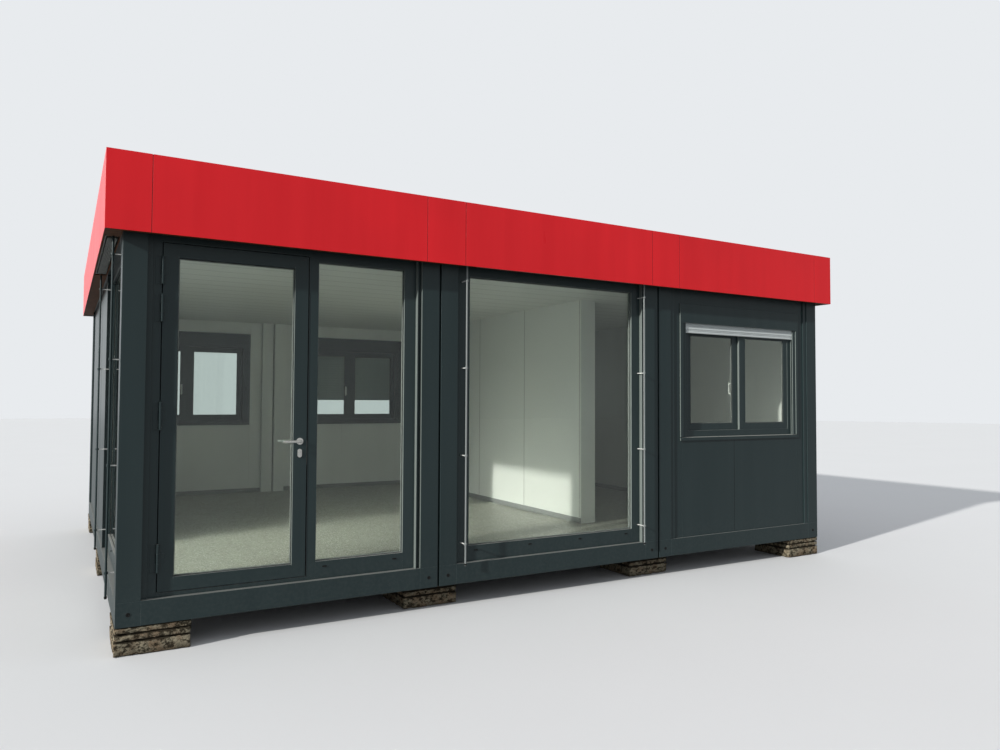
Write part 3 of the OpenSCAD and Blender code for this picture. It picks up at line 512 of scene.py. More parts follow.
def side_faces():
    """Mask of the faces that look along the front wall at rest, apart from the left side's pieces, which get
    painted sunlight.
    """
    left_band = 0.2

    def build(tree, given):
        normal = add(tree, "ShaderNodeNewGeometry").outputs["True Normal"]
        own = add(
            tree, "ShaderNodeVectorTransform", {0: normal},
            vector_type="NORMAL", convert_from="WORLD", convert_to="OBJECT",
        ).outputs[0]
        facing = parts_of(tree, own)
        across = maths(tree, "LESS_THAN", maths(tree, "ABSOLUTE", facing[1]), 0.5)
        behind = maths(tree, "GREATER_THAN", parts_of(tree, here(tree))[0], LEFT + left_band)
        return {"Mask": maths(tree, "MULTIPLY", across, behind)}

    return node_group("side_faces", [], [("Mask", FLOAT)], build)


def new_material(name, **sockets):
    """A node material: its tree and its shader, with the shader's plain sockets set."""
    made = bpy.data.materials.new(name)
    made.use_nodes = True
    shader = made.node_tree.nodes["Principled BSDF"]
    for key, value in sockets.items():
        shader.inputs[key.replace("_", " ")].default_value = value
    return made, made.node_tree, shader


def feed(tree, shader, **sockets):
    for key, value in sockets.items():
        tree.links.new(value, shader.inputs[key.replace("_", " ")])


def relief(tree, height, rounded=None):
    """Normal of a height in metres, over a normal that rounds the edges where one is given."""
    inputs = {"Strength": 1.0, "Distance": 1.0, "Height": height}
    if rounded:
        inputs["Normal"] = rounded
    return add(tree, "ShaderNodeBump", inputs).outputs[0]


def painted(
    name, base, roughness, dust=0.5, streaks=0.12, wave=0.0006, wear=0.4, edge=0.005, lit_sides=None, lined=(),
):
    """Weathered paint with lighter edges, partly worn and partly a painted highlight.

    The side faces may take another colour, a lighter tone painted as sunlight. Lined holds boxes, as two
    corners and a colour, inside which the paint has that colour.
    """
    made, tree, shader = new_material(name, Specular_IOR_Level=0.4)
    rounded = add(tree, "ShaderNodeBevel", {"Radius": edge}, samples=6).outputs[0]
    worn_and_lit_tone = (*[min(1, v * 2.5 + 0.04) for v in base], 1)
    base = (*base, 1)
    # Painted light: side faces take a lighter tone that stands in for sunlight on the reveals.
    if lit_sides:
        base = mixed(tree, grouped(tree, side_faces())[0], base, (*lit_sides, 1))
    # Lighter lines along edges: partly worn paint, partly a painted highlight of the light that edges catch.
    line = grouped(tree, edge_wear(), {"Rounded": rounded})[0]
    base = mixed(tree, maths(tree, "MULTIPLY", line, wear), base, worn_and_lit_tone)
    for low, high, inner in lined:
        mask = grouped(tree, inside_box(), {"Low": low, "High": high})[0]
        base = mixed(tree, mask, base, (*inner, 1))
        dust = maths(tree, "MULTIPLY", maths(tree, "SUBTRACT", 1.0, mask), dust)
    worn = grouped(tree, weathering(), {
        "Color": base, "Dust Color": (*colours().dust, 1), "Dust": dust, "Streaks": streaks,
    })
    rough = raised(tree, worn["Dust"], 0.4, roughness)
    rough = raised(tree, worn["Streak"], 0.12, rough, clamp=True)
    height = grouped(tree, paint_skin(), {"Wave": wave})[0]
    feed(tree, shader, Base_Color=worn["Color"], Roughness=rough)
    feed(tree, shader, Normal=relief(tree, height, rounded))
    return made


def anthracite():
    """Anthracite paint, painted sunlight as a lighter tone on the reveal at the right of the door's bay, and
    white lining in the room.
    """
    low = (LEFT + WALL_INNER - TINY, FRONT + WALL_INNER - TINY, BEAM_TOP)
    high = (RIGHT - WALL_INNER + TINY, BACK - WALL_INNER + TINY, HEAD)
    post = sorted(solids("corner_posts"), key=lambda box: (box[0].y > 0, box[0].x))[1]
    # Painted light: the door bay's right post gets a lighter tone on its left side that stands in for
    # sunlight.
    lit_reveal_depth = 0.04
    lit_reveal_low = (post[0].x - TINY, FRONT - TINY, BEAM_TOP)
    lit_reveal_high = (post[0].x + TINY, FRONT + lit_reveal_depth, HEAD)
    return painted("anthracite_paint", colours().anthracite, PAINT_ROUGHNESS, lined=[
        (low, high, colours().lining), (lit_reveal_low, lit_reveal_high, colours().painted_reveal_light),
    ])


def leaf_paint():
    """Anthracite paint of the door leaf, with a lighter tone painted as sunlight on the reveals beside its
    pane.
    """
    reveals = []
    margin = 0.1
    # Painted light: thin boxes at the pane's side reveals give them a lighter tone that stands in for
    # sunlight.
    for low, high in solids("door_glass"):
        for x in (low.x + sizes().pane_seat, high.x - sizes().pane_seat):
            near = (x - 2 * TINY, low.y - margin, low.z)
            far = (x + 2 * TINY, high.y + margin, high.z)
            reveals.append((near, far, colours().painted_reveal_light))
    return painted("leaf_paint", colours().anthracite, PAINT_ROUGHNESS, lined=reveals)


def red_paint():
    """Glossy red outside and pale primer on the back of the fascia sheets."""
    skin = 0.0035
    low = [value + skin for value in FASCIA_LOW]
    high = [value - skin for value in FASCIA_HIGH]
    return painted(
        "red_fascia_paint", colours().red, 0.24, dust=0.3, streaks=0.16, wave=0.0022, wear=0.1, edge=0.0015,
        lined=[(low, high, colours().zinc)],
    )


def metal(name, base, roughness, stretch, metallic=1.0):
    """Metal with a fine grain along one axis and a few dull spots."""
    made, tree, shader = new_material(name, Metallic=metallic)
    lines = grouped(tree, grain(), {"Stretch": stretch})[0]
    spots = stepped(tree, noisy(tree, 24, 3), 0.45, 0.75)
    tone = mixed(tree, maths(tree, "MULTIPLY", spots, 0.35), (*base, 1), shade(base, 0.62))
    rough = raised(tree, lines, 0.16, roughness)
    rough = raised(tree, spots, 0.15, rough, clamp=True)
    feed(tree, shader, Base_Color=tone, Roughness=rough)
    feed(tree, shader, Normal=relief(tree, maths(tree, "MULTIPLY", lines, 0.00002)))
    return made


def zinc():
    """Galvanised sheet with its spangle."""
    made, tree, shader = new_material("galvanised_zinc", Metallic=0.85)
    cells = add(tree, "ShaderNodeTexVoronoi", {"Vector": here(tree), "Scale": 90.0})
    spangle = parts_of(tree, cells.outputs["Color"])[0]
    base = colours().zinc
    tone = mixed(tree, spangle, shade(base, 0.8), (*base, 1))
    worn = grouped(tree, weathering(), {
        "Color": tone, "Dust Color": (*colours().dust, 1), "Dust": 0.7, "Streaks": 0.2,
    })
    rough = raised(tree, spangle, 0.15, 0.4)
    rough = raised(tree, worn["Dust"], 0.4, rough, clamp=True)
    feed(tree, shader, Base_Color=worn["Color"], Roughness=rough)
    feed(tree, shader, Normal=relief(tree, maths(tree, "MULTIPLY", spangle, 0.00002)))
    return made


def rods():
    """Grey rods before the front and dark ones on the left side."""
    margin = 0.1
    low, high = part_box("blind_rods")
    start = [value - margin for value in low]
    end = (low.x + margin, high.y, high.z + margin)
    return painted(
        "rod_steel", colours().rod, 0.3, dust=0.2, wave=0.0, lined=[(start, end, colours().anthracite)]
    )


def boards():
    """Brown boards of the soffit with an even grain."""
    made, tree, shader = new_material("soffit_boards", Specular_IOR_Level=0.12)
    lines = grouped(tree, grain(), {"Stretch": (14, 14, 14)})[0]
    fine = noisy(tree, 160, 3)
    base = colours().soffit
    share = maths(tree, "ADD", maths(tree, "MULTIPLY", lines, 0.5), maths(tree, "MULTIPLY", fine, 0.3))
    tone = mixed(tree, share, shade(base, 1.25), shade(base, 0.6))
    feed(tree, shader, Base_Color=tone)
    feed(tree, shader, Roughness=raised(tree, fine, 0.2, 0.5))
    feed(tree, shader, Normal=relief(tree, maths(tree, "MULTIPLY", fine, 0.0001)))
    return made


def lined_board(name, base, pitch):
    """White lining with a fine joint at every pitch from the front to the back."""
    made, tree, shader = new_material(name, Roughness=0.55)
    groove = 0.004
    along = parts_of(tree, here(tree))[1]
    share = maths(tree, "FRACT", maths(tree, "DIVIDE", along, pitch))
    edge = maths(tree, "ABSOLUTE", maths(tree, "SUBTRACT", share, 0.5))
    joint = stepped(tree, edge, groove / pitch, 2.5 * groove / pitch, 1.0, 0.0)
    soil = stepped(tree, noisy(tree, 2.2, 4), 0.4, 0.8)
    tone = mixed(tree, maths(tree, "MULTIPLY", soil, 0.12), (*base, 1), shade(base, 0.7))
    tone = mixed(tree, maths(tree, "MULTIPLY", joint, 0.65), tone, shade(base, 0.3))
    height = maths(tree, "MULTIPLY", joint, -0.002)
    height = maths(tree, "ADD", height, maths(tree, "MULTIPLY", noisy(tree, 500), 0.00003))
    feed(tree, shader, Base_Color=tone, Normal=relief(tree, height))
    return made


def speckled_floor():
    """Vinyl covering with dark and light speckles."""
    made, tree, shader = new_material("speckled_vinyl")
    base = colours().floor
    chips = add(tree, "ShaderNodeTexVoronoi", {"Vector": here(tree), "Scale": 120.0})
    pick = parts_of(tree, chips.outputs["Color"])[0]
    dark = stepped(tree, pick, 0.72, 0.8)
    light = stepped(tree, pick, 0.2, 0.12)
    cloud = noisy(tree, 6, 4)
    tone = mixed(tree, cloud, shade(base, 0.85), shade(base, 1.1))
    tone = mixed(tree, maths(tree, "MULTIPLY", dark, 0.6), tone, shade(base, 0.35))
    tone = mixed(tree, maths(tree, "MULTIPLY", light, 0.5), tone, (0.8, 0.8, 0.76, 1))
    feed(tree, shader, Base_Color=tone)
    feed(tree, shader, Roughness=raised(tree, cloud, 0.3, 0.25))
    feed(tree, shader, Normal=relief(tree, maths(tree, "MULTIPLY", noisy(tree, 260), 0.0001)))
    return made


def concrete():
    """Weathered concrete: pale and pinkish grit, blackened in patches and along the joints."""
    made, tree, shader = new_material("weathered_concrete", Specular_IOR_Level=0.2)
    base, moss = colours().concrete, colours().moss
    warm = (base[0] * 0.8, base[1] * 0.66, base[2] * 0.6, 1)
    patch = noisy(tree, 12, 6, rough=0.65)
    pores = stepped(tree, noisy(tree, 95, 4), 0.48, 0.66)
    tone = mixed(tree, stepped(tree, patch, 0.4, 0.62), (*base, 1), warm)
    tone = mixed(tree, maths(tree, "MULTIPLY", pores, 0.55), tone, shade(base, 0.3))
    level = parts_of(tree, here(tree))[2]
    share = maths(tree, "FRACT", maths(tree, "DIVIDE", level, BEAM_FOOT / SLABS_IN_STACK))
    near_joint = stepped(tree, maths(tree, "ABSOLUTE", maths(tree, "SUBTRACT", share, 0.5)), 0.22, 0.48)
    upper = stepped(tree, level, 0.35 * BEAM_FOOT, 0.45 * BEAM_FOOT)
    near_joint = maths(tree, "MULTIPLY", near_joint, upper)
    soot = noisy(tree, 26, 7, (1, 1, 1.6), rough=0.7)
    growth = maths(tree, "ADD", soot, maths(tree, "MULTIPLY", near_joint, 0.22))
    growth = stepped(tree, growth, 0.46, 0.58)
    low = stepped(tree, maths(tree, "ADD", level, maths(tree, "MULTIPLY", patch, 0.08)), 0.09, 0.03)
    growth = maths(tree, "MAXIMUM", growth, maths(tree, "MULTIPLY", low, 0.7))
    tone = mixed(tree, maths(tree, "MULTIPLY", growth, 0.92), tone, (*moss, 1))
    height = maths(tree, "ADD", maths(tree, "MULTIPLY", soot, -0.008), maths(tree, "MULTIPLY", pores, -0.002))
    feed(tree, shader, Base_Color=tone)
    feed(tree, shader, Roughness=raised(tree, growth, 0.1, 0.86))
    feed(tree, shader, Normal=relief(tree, height))
    return made


def glass():
    """Clear panes, faintly wavy, that let the lamps' light through."""
    tint = (*colours().glass, 1)
    made, tree, shader = new_material(
        "pane_glass", Base_Color=tint, Roughness=0.0, IOR=1.45, Transmission_Weight=1.0
    )
    shadow = add(tree, "ShaderNodeLightPath").outputs["Is Shadow Ray"]
    wave = maths(tree, "MULTIPLY", noisy(tree, 1.1, 1), 0.0012)
    feed(tree, shader, Alpha=maths(tree, "SUBTRACT", 1.0, maths(tree, "MULTIPLY", shadow, 0.85)))
    feed(tree, shader, Normal=relief(tree, wave))
    return made


def rubber(name, base):
    """Dull rubber or plastic with a film of dust."""
    made, tree, shader = new_material(name, Specular_IOR_Level=0.15)
    film = noisy(tree, 60, 3)
    thin = maths(tree, "MULTIPLY", film, 0.06)
    feed(tree, shader, Base_Color=mixed(tree, thin, (*base, 1), (*colours().dust, 1)))
    feed(tree, shader, Roughness=raised(tree, film, 0.3, 0.45))
    feed(tree, shader, Normal=relief(tree, maths(tree, "MULTIPLY", noisy(tree, 700), 0.00004)))
    return made


def finishes():
    """The cabin's materials by name, made on the first call."""
    if "anthracite_paint" not in bpy.data.materials:
        tone = colours()
        anthracite()
        leaf_paint()
        red_paint()
        painted("frame_paint", tone.anthracite, PAINT_ROUGHNESS)
        # Profile paint: painted sunlight as a lighter tone on side faces, and a stronger dust on upward faces
        # that is partly painted light.
        painted("profile_paint", tone.anthracite, PAINT_ROUGHNESS, dust=0.7, lit_sides=tone.painted_reveal_light)
        painted("shutter_paint", tone.shutter, 0.3, dust=0.25, streaks=0.1, wave=0.0)
        painted("blind_paint", tone.blind, 0.35, dust=0.4, streaks=0.15, wave=0.0)
        painted("skirting_paint", tone.skirting, 0.45, dust=0.1, wave=0.0)
        painted("white_plastic", tone.lining, 0.35, dust=0.1, wave=0.0)
        painted("underside_board", tone.moss, 0.8, dust=0.3)
        metal("stainless_steel", tone.stainless, 0.24, (300, 300, 20), metallic=0.8)
        rods()
        metal("clamp_steel", tone.clamp, 0.35, (60, 60, 60), metallic=0.0)
        metal("spacer_metal", tone.spacer, 0.4, (40, 40, 40), metallic=0.0)
        zinc()
        boards()
        lined_board("white_ceiling", tone.lining, 0.3)
        lined_board("white_partition", tone.lining, 1.2)
        speckled_floor()
        concrete()
        glass()
        rubber("black_rubber", tone.seal)
        rubber("seam_rubber", tone.seam)
    return bpy.data.materials


# Pieces


class CabinStep(Operator):
    """Base of the steps that dress the cabin."""

    bl_options = {"REGISTER", "UNDO"}

    def execute(self, context):
        self.build(context)
        return {"FINISHED"}


class CABIN_OT_finishes(CabinStep):
    """Give every piece of the frame its finish"""

    bl_idname = "cabin.finishes"
    bl_label = "Finishes"

    def build(self, context):
        give = {
            "anthracite_paint": (
                "corner_blocks", "floor_side_beams", "floor_end_beams", "corner_posts", "roof_side_beams",
                "roof_end_beams", "joint_strips", "front_wall_panels", "back_wall_panels",
                "left_wall_panels", "right_wall_panels", "wall_edge_strips",
            ),
            "frame_paint": ("hinge_leaf_parts", "hinge_frame_parts"),
            "leaf_paint": ("door_leaf",),
            "profile_paint": (
                "door_frame", "glazing_frames", "bay_covers", "window_surrounds", "window_frames",
                "window_sashes",
            ),
            "red_fascia_paint": (
                "fascia_front_panels", "fascia_back_panels", "fascia_side_panels", "fascia_filler_panels",
                "fascia_corner_panels",
            ),
            "galvanised_zinc": ("roof_sheets", "roof_joint_caps", "fascia_rails", "fascia_brackets"),
            "soffit_boards": ("soffit_boards",),
            "stainless_steel": ("door_handle", "door_lock_plates"),
            "rod_steel": ("blind_rods",),
            "clamp_steel": ("blind_brackets",),
            "white_ceiling": ("ceiling_panels",),
            "white_partition": ("partition_wall",),
            "speckled_vinyl": ("floor_finish",),
            "underside_board": ("floor_decks",),
            "pane_glass": ("sidelight_glass", "door_glass", "glazing_glass", "window_glass"),
            "shutter_paint": ("shutter_slats",),
            "blind_paint": ("blind_slats",),
            "weathered_concrete": ("slab_stacks",),
        }
        left_over = set(NODES) - {name for names in give.values() for name in names}
        if left_over:
            raise RuntimeError(f"no finish for {sorted(left_over)}")
        for made, names in give.items():
            for name in names:
                materials = NODES[name].data.materials
                materials.clear()
                materials.append(finishes()[made])


class CABIN_OT_slabs(CabinStep):
    """Stack the worn concrete slabs under the frame"""

    bl_idname = "cabin.slabs"
    bl_label = "Foundation slabs"

    # Shares of a stack's height, from the ground up. The lowest two slabs are made as one.
    courses = (0.5, 0.25, 0.25)

    def build(self, context):
        rng = random.Random(sizes().seed)
        parts = []
        for low, high in solids("slab_stacks"):
            size = high - low
            foot = low.z
            for course in self.courses:
                thick = size.z * course
                where = Vector((rng.random(), rng.random(), rng.random())) * 50
                slab = self.worn_slab((size.x, size.y, thick), where)
                shift = sizes().slab_shift
                middle = centre(low, high)
                middle.x += rng.uniform(-shift, shift) * 0.5
                middle.y += rng.uniform(0, shift) if middle.y < 0 else rng.uniform(-shift, 0)
                middle.z = foot + thick / 2
                foot += thick
                turn = Matrix.Rotation(rng.uniform(-0.008, 0.008), 4, "Z")
                parts.append((slab, [Matrix.Translation(middle) @ turn]))
        made = piece("worn_slabs", "weathered_concrete", parts, smooth=60)
        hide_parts("slab_stacks")

    def worn_slab(self, size, where):
        """One slab with chipped edges and uneven faces, worn inwards only."""
        chip, rough = sizes().slab_chip, sizes().slab_rough
        bm = block(size, chip, 2)
        long_edges = [edge for edge in bm.edges if edge.calc_length() > size[0] / 2]
        bmesh.ops.subdivide_edges(bm, edges=long_edges, cuts=23, use_grid_fill=True)
        bm.normal_update()
        moves = []
        for vert in bm.verts:
            near_edge = sum(abs(vert.co[axis]) > size[axis] / 2 - chip * 1.5 for axis in range(3)) > 1
            wear = (noise.noise(vert.co * 14 + where) + 1) * rough * 0.5
            if near_edge:
                wear += max(0, noise.noise(vert.co * 26 + where)) * chip * 1.4
            moves.append((vert, vert.normal * -wear))
        for vert, move in moves:
            vert.co += move
        return bm


class CABIN_OT_pane_seals(CabinStep):
    """Set rubber gaskets and silver spacers round the panes"""

    bl_idname = "cabin.pane_seals"
    bl_label = "Pane seals"

    def build(self, context):
        sunk = sizes().pane_seat
        for nodes, body, prefix, seat in (
            (("glazing_glass", "sidelight_glass"), "building", "fixed", sunk),
            (("door_glass",), "door", "door", sunk),
            (("window_glass",), "building", "sash", 0.0),
        ):
            gaskets, spacers = [], []
            for low, high in [box for node in nodes for box in solids(node)]:
                width, depth, height = wall_size(low, high)
                width, height = width - 2 * seat, height - 2 * seat
                place = wall_place(low, high)
                rubber = ring(width, height, sizes().gasket_w, 0.003)
                inner = ring(width, height, sizes().gasket_w * 1.5, 0.003)
                gaskets.append((rubber, [place @ at(0, -0.0032, 0)]))
                gaskets.append((inner, [place @ at(0, depth + 0.0002, 0)]))
                spacer = ring(width, height, sizes().gasket_w + sizes().spacer_w, depth * 0.5)
                spacers.append((spacer, [place @ at(0, depth * 0.25, 0)]))
            piece(f"{prefix}_gaskets", "black_rubber", gaskets, body)
            piece(f"{prefix}_spacers", "spacer_metal", spacers, body)


class CABIN_OT_weep_caps(CabinStep):
    """Put caps on the drain slots of the glazing frames"""

    bl_idname = "cabin.weep_caps"
    bl_label = "Weep caps"

    def build(self, context):
        size = sizes()
        seat = 0.012
        depth_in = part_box("sidelight_glass")[0].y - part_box("door_frame")[0].y
        places = []
        for low, high in solids("glazing_glass") + solids("sidelight_glass"):
            width, _, height = wall_size(low, high)
            reach = width / 2 - seat - size.weep_in
            level = -height / 2 + seat - size.weep_drop
            gaps = max(1, math.ceil(2 * reach / size.weep_pitch))
            for step in range(gaps + 1):
                along = -reach + 2 * reach * step / gaps
                places.append(wall_place(low, high) @ at(along, -depth_in, level))
        cap = block((0.034, 0.005, 0.011), 0.0015)
        lip = block((0.026, 0.003, 0.003), 0.0008)
        piece("weep_caps", "black_rubber", [
            (cap, [place @ at(0, -0.0025, 0) for place in places]),
            (lip, [place @ at(0, -0.0055, -0.003) for place in places]),
        ])


class CABIN_OT_corner_plugs(CabinStep):
    """Close the lifting holes in the corner blocks with plugs"""

    bl_idname = "cabin.corner_plugs"
    bl_label = "Corner plugs"

    def build(self, context):
        places = []
        for low, high in solids("corner_blocks"):
            middle = centre(low, high)
            if low.z > BEAM_TOP:
                continue
            face = FRONT if middle.y < 0 else BACK
            turn = FRONT_OUT if middle.y < 0 else BACK_OUT
            places.append(Matrix.Translation((middle.x, face, middle.z)) @ turn @ TO_FRONT)
        radius = sizes().plug_r
        plug = turned([
            (0, 0.0012), (radius * 0.55, 0.0012), (radius * 0.62, 0.003), (radius * 0.9, 0.003),
            (radius, 0.0018), (radius, -0.0005), (0, -0.0005),
        ], 28)
        piece("corner_plugs", "black_rubber", [(plug, places)])


class CABIN_OT_shutters(CabinStep):
    """Make the roller shutters of ribbed slats"""

    bl_idname = "cabin.shutters"
    bl_label = "Roller shutters"

    def build(self, context):
        slats, stops = [], []
        for low, high in solids("shutter_slats"):
            width, depth, height = wall_size(low, high)
            count = max(1, round(height / sizes().slat_h))
            pitch = height / count
            place = wall_place(low, high) @ at(0, 0, -height / 2)
            levels = [place @ at(0, 0, pitch * step) for step in range(count)]
            slats.append((drawn(self.slat_outline(depth, pitch), width - 0.002), levels))
            stop = turned([(0, 0.003), (0.003, 0.0028), (0.0045, 0.0012), (0.0045, -0.001), (0, -0.001)], 12)
            reach = width / 2 - 0.045
            ends = [place @ at(side * reach, 0.001, pitch * 0.5) @ TO_FRONT for side in (-1, 1)]
            stops.append((stop, ends))
        made = piece("shutter_curtains", "shutter_paint", slats, smooth=40)
        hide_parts("shutter_slats")
        piece("shutter_stops", "rod_steel", stops)

    def slat_outline(self, depth, pitch):
        """Curved outer face with a rib, a groove to the next slat and a flat back."""
        face = [
            (0.6, 0.0), (0.12, 0.05), (0.0, 0.22), (0.0, 0.46), (0.3, 0.56),
            (0.3, 0.64), (0.03, 0.72), (0.0, 0.84), (0.12, 0.95), (0.6, 1.0),
        ]
        back = [(0.9, 1.0), (0.8, 0.8), (0.76, 0.45), (0.8, 0.15), (0.9, 0.0)]
        return [(y * depth, z * pitch) for y, z in face + back]


class CABIN_OT_blinds(CabinStep):
    """Make the raised outside blinds: head box, slats, ladder cords and ribbed bottom rail"""

    bl_idname = "cabin.blinds"
    bl_label = "Raised blinds"

    def build(self, context):
        slats, cords, plates = [], [], []
        rods = solids("blind_rods")
        soffit_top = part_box("soffit_boards")[1].z
        for low, high in solids("blind_slats"):
            place = wall_place(low, high)
            width, depth, height = wall_size(low, high)
            run = self.bundle_run(low, high)
            foot, rail, head_h = -height / 2, sizes().blind_rail, sizes().blind_head
            stack = height - head_h - rail
            count = max(1, round(stack / sizes().blind_pitch))
            pitch = stack / count
            levels = [place @ at(0, 0, foot + rail + pitch * (step + 0.1)) for step in range(count)]
            slats.append((drawn(self.slat_outline(depth), run - 0.006), levels))
            slats.append((drawn(self.rail_outline(depth, rail), run), [place @ at(0, 0, foot)]))
            head = [(0.003, -head_h), (depth - 0.003, -head_h), (depth - 0.003, 0), (0.003, 0)]
            slats.append((drawn(head, width), [place @ at(0, 0, height / 2)]))
            cord = block((0.006, 0.0016, stack), 0.0005, 1)
            cords.append((cord, [
                place @ at(share * run / 2, y, foot + rail + stack / 2)
                for share in (-0.82, -0.28, 0.28, 0.82) for y in (0.0008, depth - 0.0008)
            ]))
            plate_h = height - head_h + low.z - soffit_top
            plate = block((0.003, depth + 0.014, plate_h), 0.0005, 1)
            rod_r = (rods[0][1].x - rods[0][0].x) / 2
            reach = width / 2 - 4 * rod_r - 0.003
            level = soffit_top + plate_h / 2 - (low.z + high.z) / 2
            plates.append((plate, [place @ at(side * reach, depth / 2 + 0.001, level) for side in (-1, 1)]))
        piece("blind_end_plates", "frame_paint", plates)
        made = piece("raised_blinds", "blind_paint", slats, smooth=30)
        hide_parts("blind_slats")
        piece("blind_cords", "black_rubber", cords)

    def bundle_run(self, low, high):
        """Length of the bundle, which is shorter than the head box, from the blind's lowest corners."""
        corners = [
            vert.co for vert in NODES["blind_slats"].data.vertices
            if vert.co.z < low.z + TINY
            and low.x - TINY < vert.co.x < high.x + TINY
            and low.y - TINY < vert.co.y < high.y + TINY
        ]
        return max(
            (a - b).length for a in corners for b in corners
            if abs(a.x - b.x) < TINY or abs(a.y - b.y) < TINY
        )

    def slat_outline(self, depth):
        """Section of a cupped slat with rolled edges, 0.5 mm thick."""
        upper, lower = [], []
        for step in range(9):
            share = step / 8
            rise = 0.0035 * (1 - (2 * share - 1) ** 2)
            upper.append((0.0015 + share * (depth - 0.003), rise + 0.0006))
            lower.append((0.0015 + share * (depth - 0.003), rise))
        return [*lower, (depth, 0.0012), *reversed(upper), (0.0, 0.0012)]

    def rail_outline(self, depth, height):
        """Section of the bottom rail: rounded edges, and ribs along its underside."""
        ribs = 5
        pitch = (depth - 0.012) / ribs
        under = [(depth - 0.006, 0.0)]
        for rib in range(ribs):
            start = depth - 0.006 - rib * pitch
            under += [
                (start - pitch * 0.45, 0.0), (start - pitch * 0.5, 0.005),
                (start - pitch * 0.95, 0.005), (start - pitch, 0.0),
            ]
        return [
            *under, (0.002, 0.001), (0.0, 0.004), (0.0, height - 0.004), (0.004, height),
            (depth - 0.004, height), (depth, height - 0.004), (depth, 0.004), (depth - 0.002, 0.001),
        ]


class CABIN_OT_fascia_seams(CabinStep):
    """Close the joints between the fascia sheets with dark red seals"""

    bl_idname = "cabin.fascia_seams"
    bl_label = "Fascia seams"

    def build(self, context):
        gap = 0.004
        set_back = 0.0017
        spots = set()
        for node in ("fascia_front_panels", "fascia_back_panels", "fascia_filler_panels"):
            for low, high in solids(node):
                front = low.y + high.y < 0
                for x in (low.x - gap / 2, high.x + gap / 2):
                    spots.add((round(x, 3), 0.0, "front" if front else "back"))
        for low, high in solids("fascia_side_panels"):
            left = low.x + high.x < 0
            for y in (low.y - gap / 2, high.y + gap / 2):
                spots.add((0.0, round(y, 3), "left" if left else "right"))
        turns = {"front": FRONT_OUT, "back": BACK_OUT, "left": LEFT_OUT, "right": RIGHT_OUT}
        middle = (FASCIA_LOW.z + FASCIA_HIGH.z) / 2
        places = []
        for x, y, side in sorted(spots):
            turn = turns[side]
            inward = turn @ Vector((0, 1, 0))
            reach = (FASCIA_HIGH.x if side in ("left", "right") else FASCIA_HIGH.y) - set_back
            places.append(Matrix.Translation(Vector((x, y, middle)) - inward * reach) @ turn)
        seal = block((sizes().seam_w, 0.0022, FASCIA_HIGH.z - FASCIA_LOW.z - 0.006), 0.0003, 1)
        piece("fascia_seams", "seam_rubber", [(seal, places)])


class CABIN_OT_panel_seals(CabinStep):
    """Draw the dark seals in the joints between wall panels"""

    bl_idname = "cabin.panel_seals"
    bl_label = "Panel seals"

    def build(self, context):
        parts = []
        near = 0.003
        for node in ("front_wall_panels", "back_wall_panels", "left_wall_panels", "right_wall_panels"):
            boxes = solids(node)
            for low, high in boxes:
                width, depth, height = wall_size(low, high)
                place = wall_place(low, high)
                edge = place @ Vector((width / 2, depth / 2, 0))
                starts = [
                    wall_place(*other) @ Vector((-wall_size(*other)[0] / 2, depth / 2, 0)) for other in boxes
                ]
                if any((start - edge).length < near for start in starts):
                    seal = block((sizes().panel_seal_w, 0.0014, height - 0.004), 0.0004, 1)
                    parts.append((seal, [place @ at(width / 2 + 0.0005, 0.0001, 0)]))
        piece("panel_seals", "black_rubber", parts)


class CABIN_OT_rod_ends(CabinStep):
    """Add foot caps and collars to the guide rods"""

    bl_idname = "cabin.rod_ends"
    bl_label = "Rod ends"

    def build(self, context):
        caps, collars = [], []
        rods = solids("blind_rods")
        for low, high in rods:
            middle = centre(low, high)
            radius = (high.x - low.x) / 2
            foot = turned([
                (0, -0.004), (radius * 0.8, -0.003), (radius + 0.002, 0.001),
                (radius + 0.002, 0.014), (radius, 0.0155), (0, 0.0155),
            ], 20)
            caps.append((foot, [at(middle.x, middle.y, low.z + 0.004)]))
        for low, high in solids("blind_brackets"):
            middle = centre(low, high)
            rod = min((centre(*box) for box in rods), key=lambda point: (point.xy - middle.xy).length)
            collar = turned([
                (0.0085, -0.009), (0.0125, -0.009), (0.0135, -0.008), (0.0135, 0.008),
                (0.0125, 0.009), (0.0085, 0.009), (0.0085, -0.009),
            ], 20)
            collars.append((collar, [at(rod.x, rod.y, middle.z)]))
        piece("rod_caps", "black_rubber", caps)
        piece("rod_collars", "rod_steel", collars)


class CABIN_OT_window_fittings(CabinStep):
    """Add the grips of the sliding windows on the room's side"""

    bl_idname = "cabin.window_fittings"
    bl_label = "Window fittings"

    def build(self, context):
        spots = []
        panes = solids("window_glass")
        track_gap = 0.005
        plate = block((0.022, 0.004, 0.15), 0.0015)
        foot = block((0.014, 0.034, 0.014), 0.003, 3)
        bar = block((0.014, 0.01, 0.13), 0.004, 3)
        for low, high in panes:
            turn = outward(low, high)
            inward = turn @ Vector((0, 1, 0))
            middle = centre(low, high)
            middles = [centre(*pane) for pane in panes]
            inner_plane = min(abs(point.dot(inward)) for point in middles) + track_gap
            if abs(middle.dot(inward)) > inner_plane:
                continue
            width, depth, _ = wall_size(low, high)
            outer = [point for point in middles if abs(point.dot(inward)) > inner_plane]
            near = min(outer, key=lambda point: (point - middle).length)
            side = 1 if (turn.inverted() @ (near - middle)).x > 0 else -1
            spots.append(wall_place(low, high) @ at(side * (width / 2 + 0.014), depth + 0.005, -0.09))
        piece("sash_grips", "white_plastic", [
            (plate, [spot @ at(0, 0.0022, 0) for spot in spots]),
            (foot, [spot @ at(0, 0.02, rise) for spot in spots for rise in (-0.056, 0.056)]),
            (bar, [spot @ at(0, 0.038, 0) for spot in spots]),
        ])


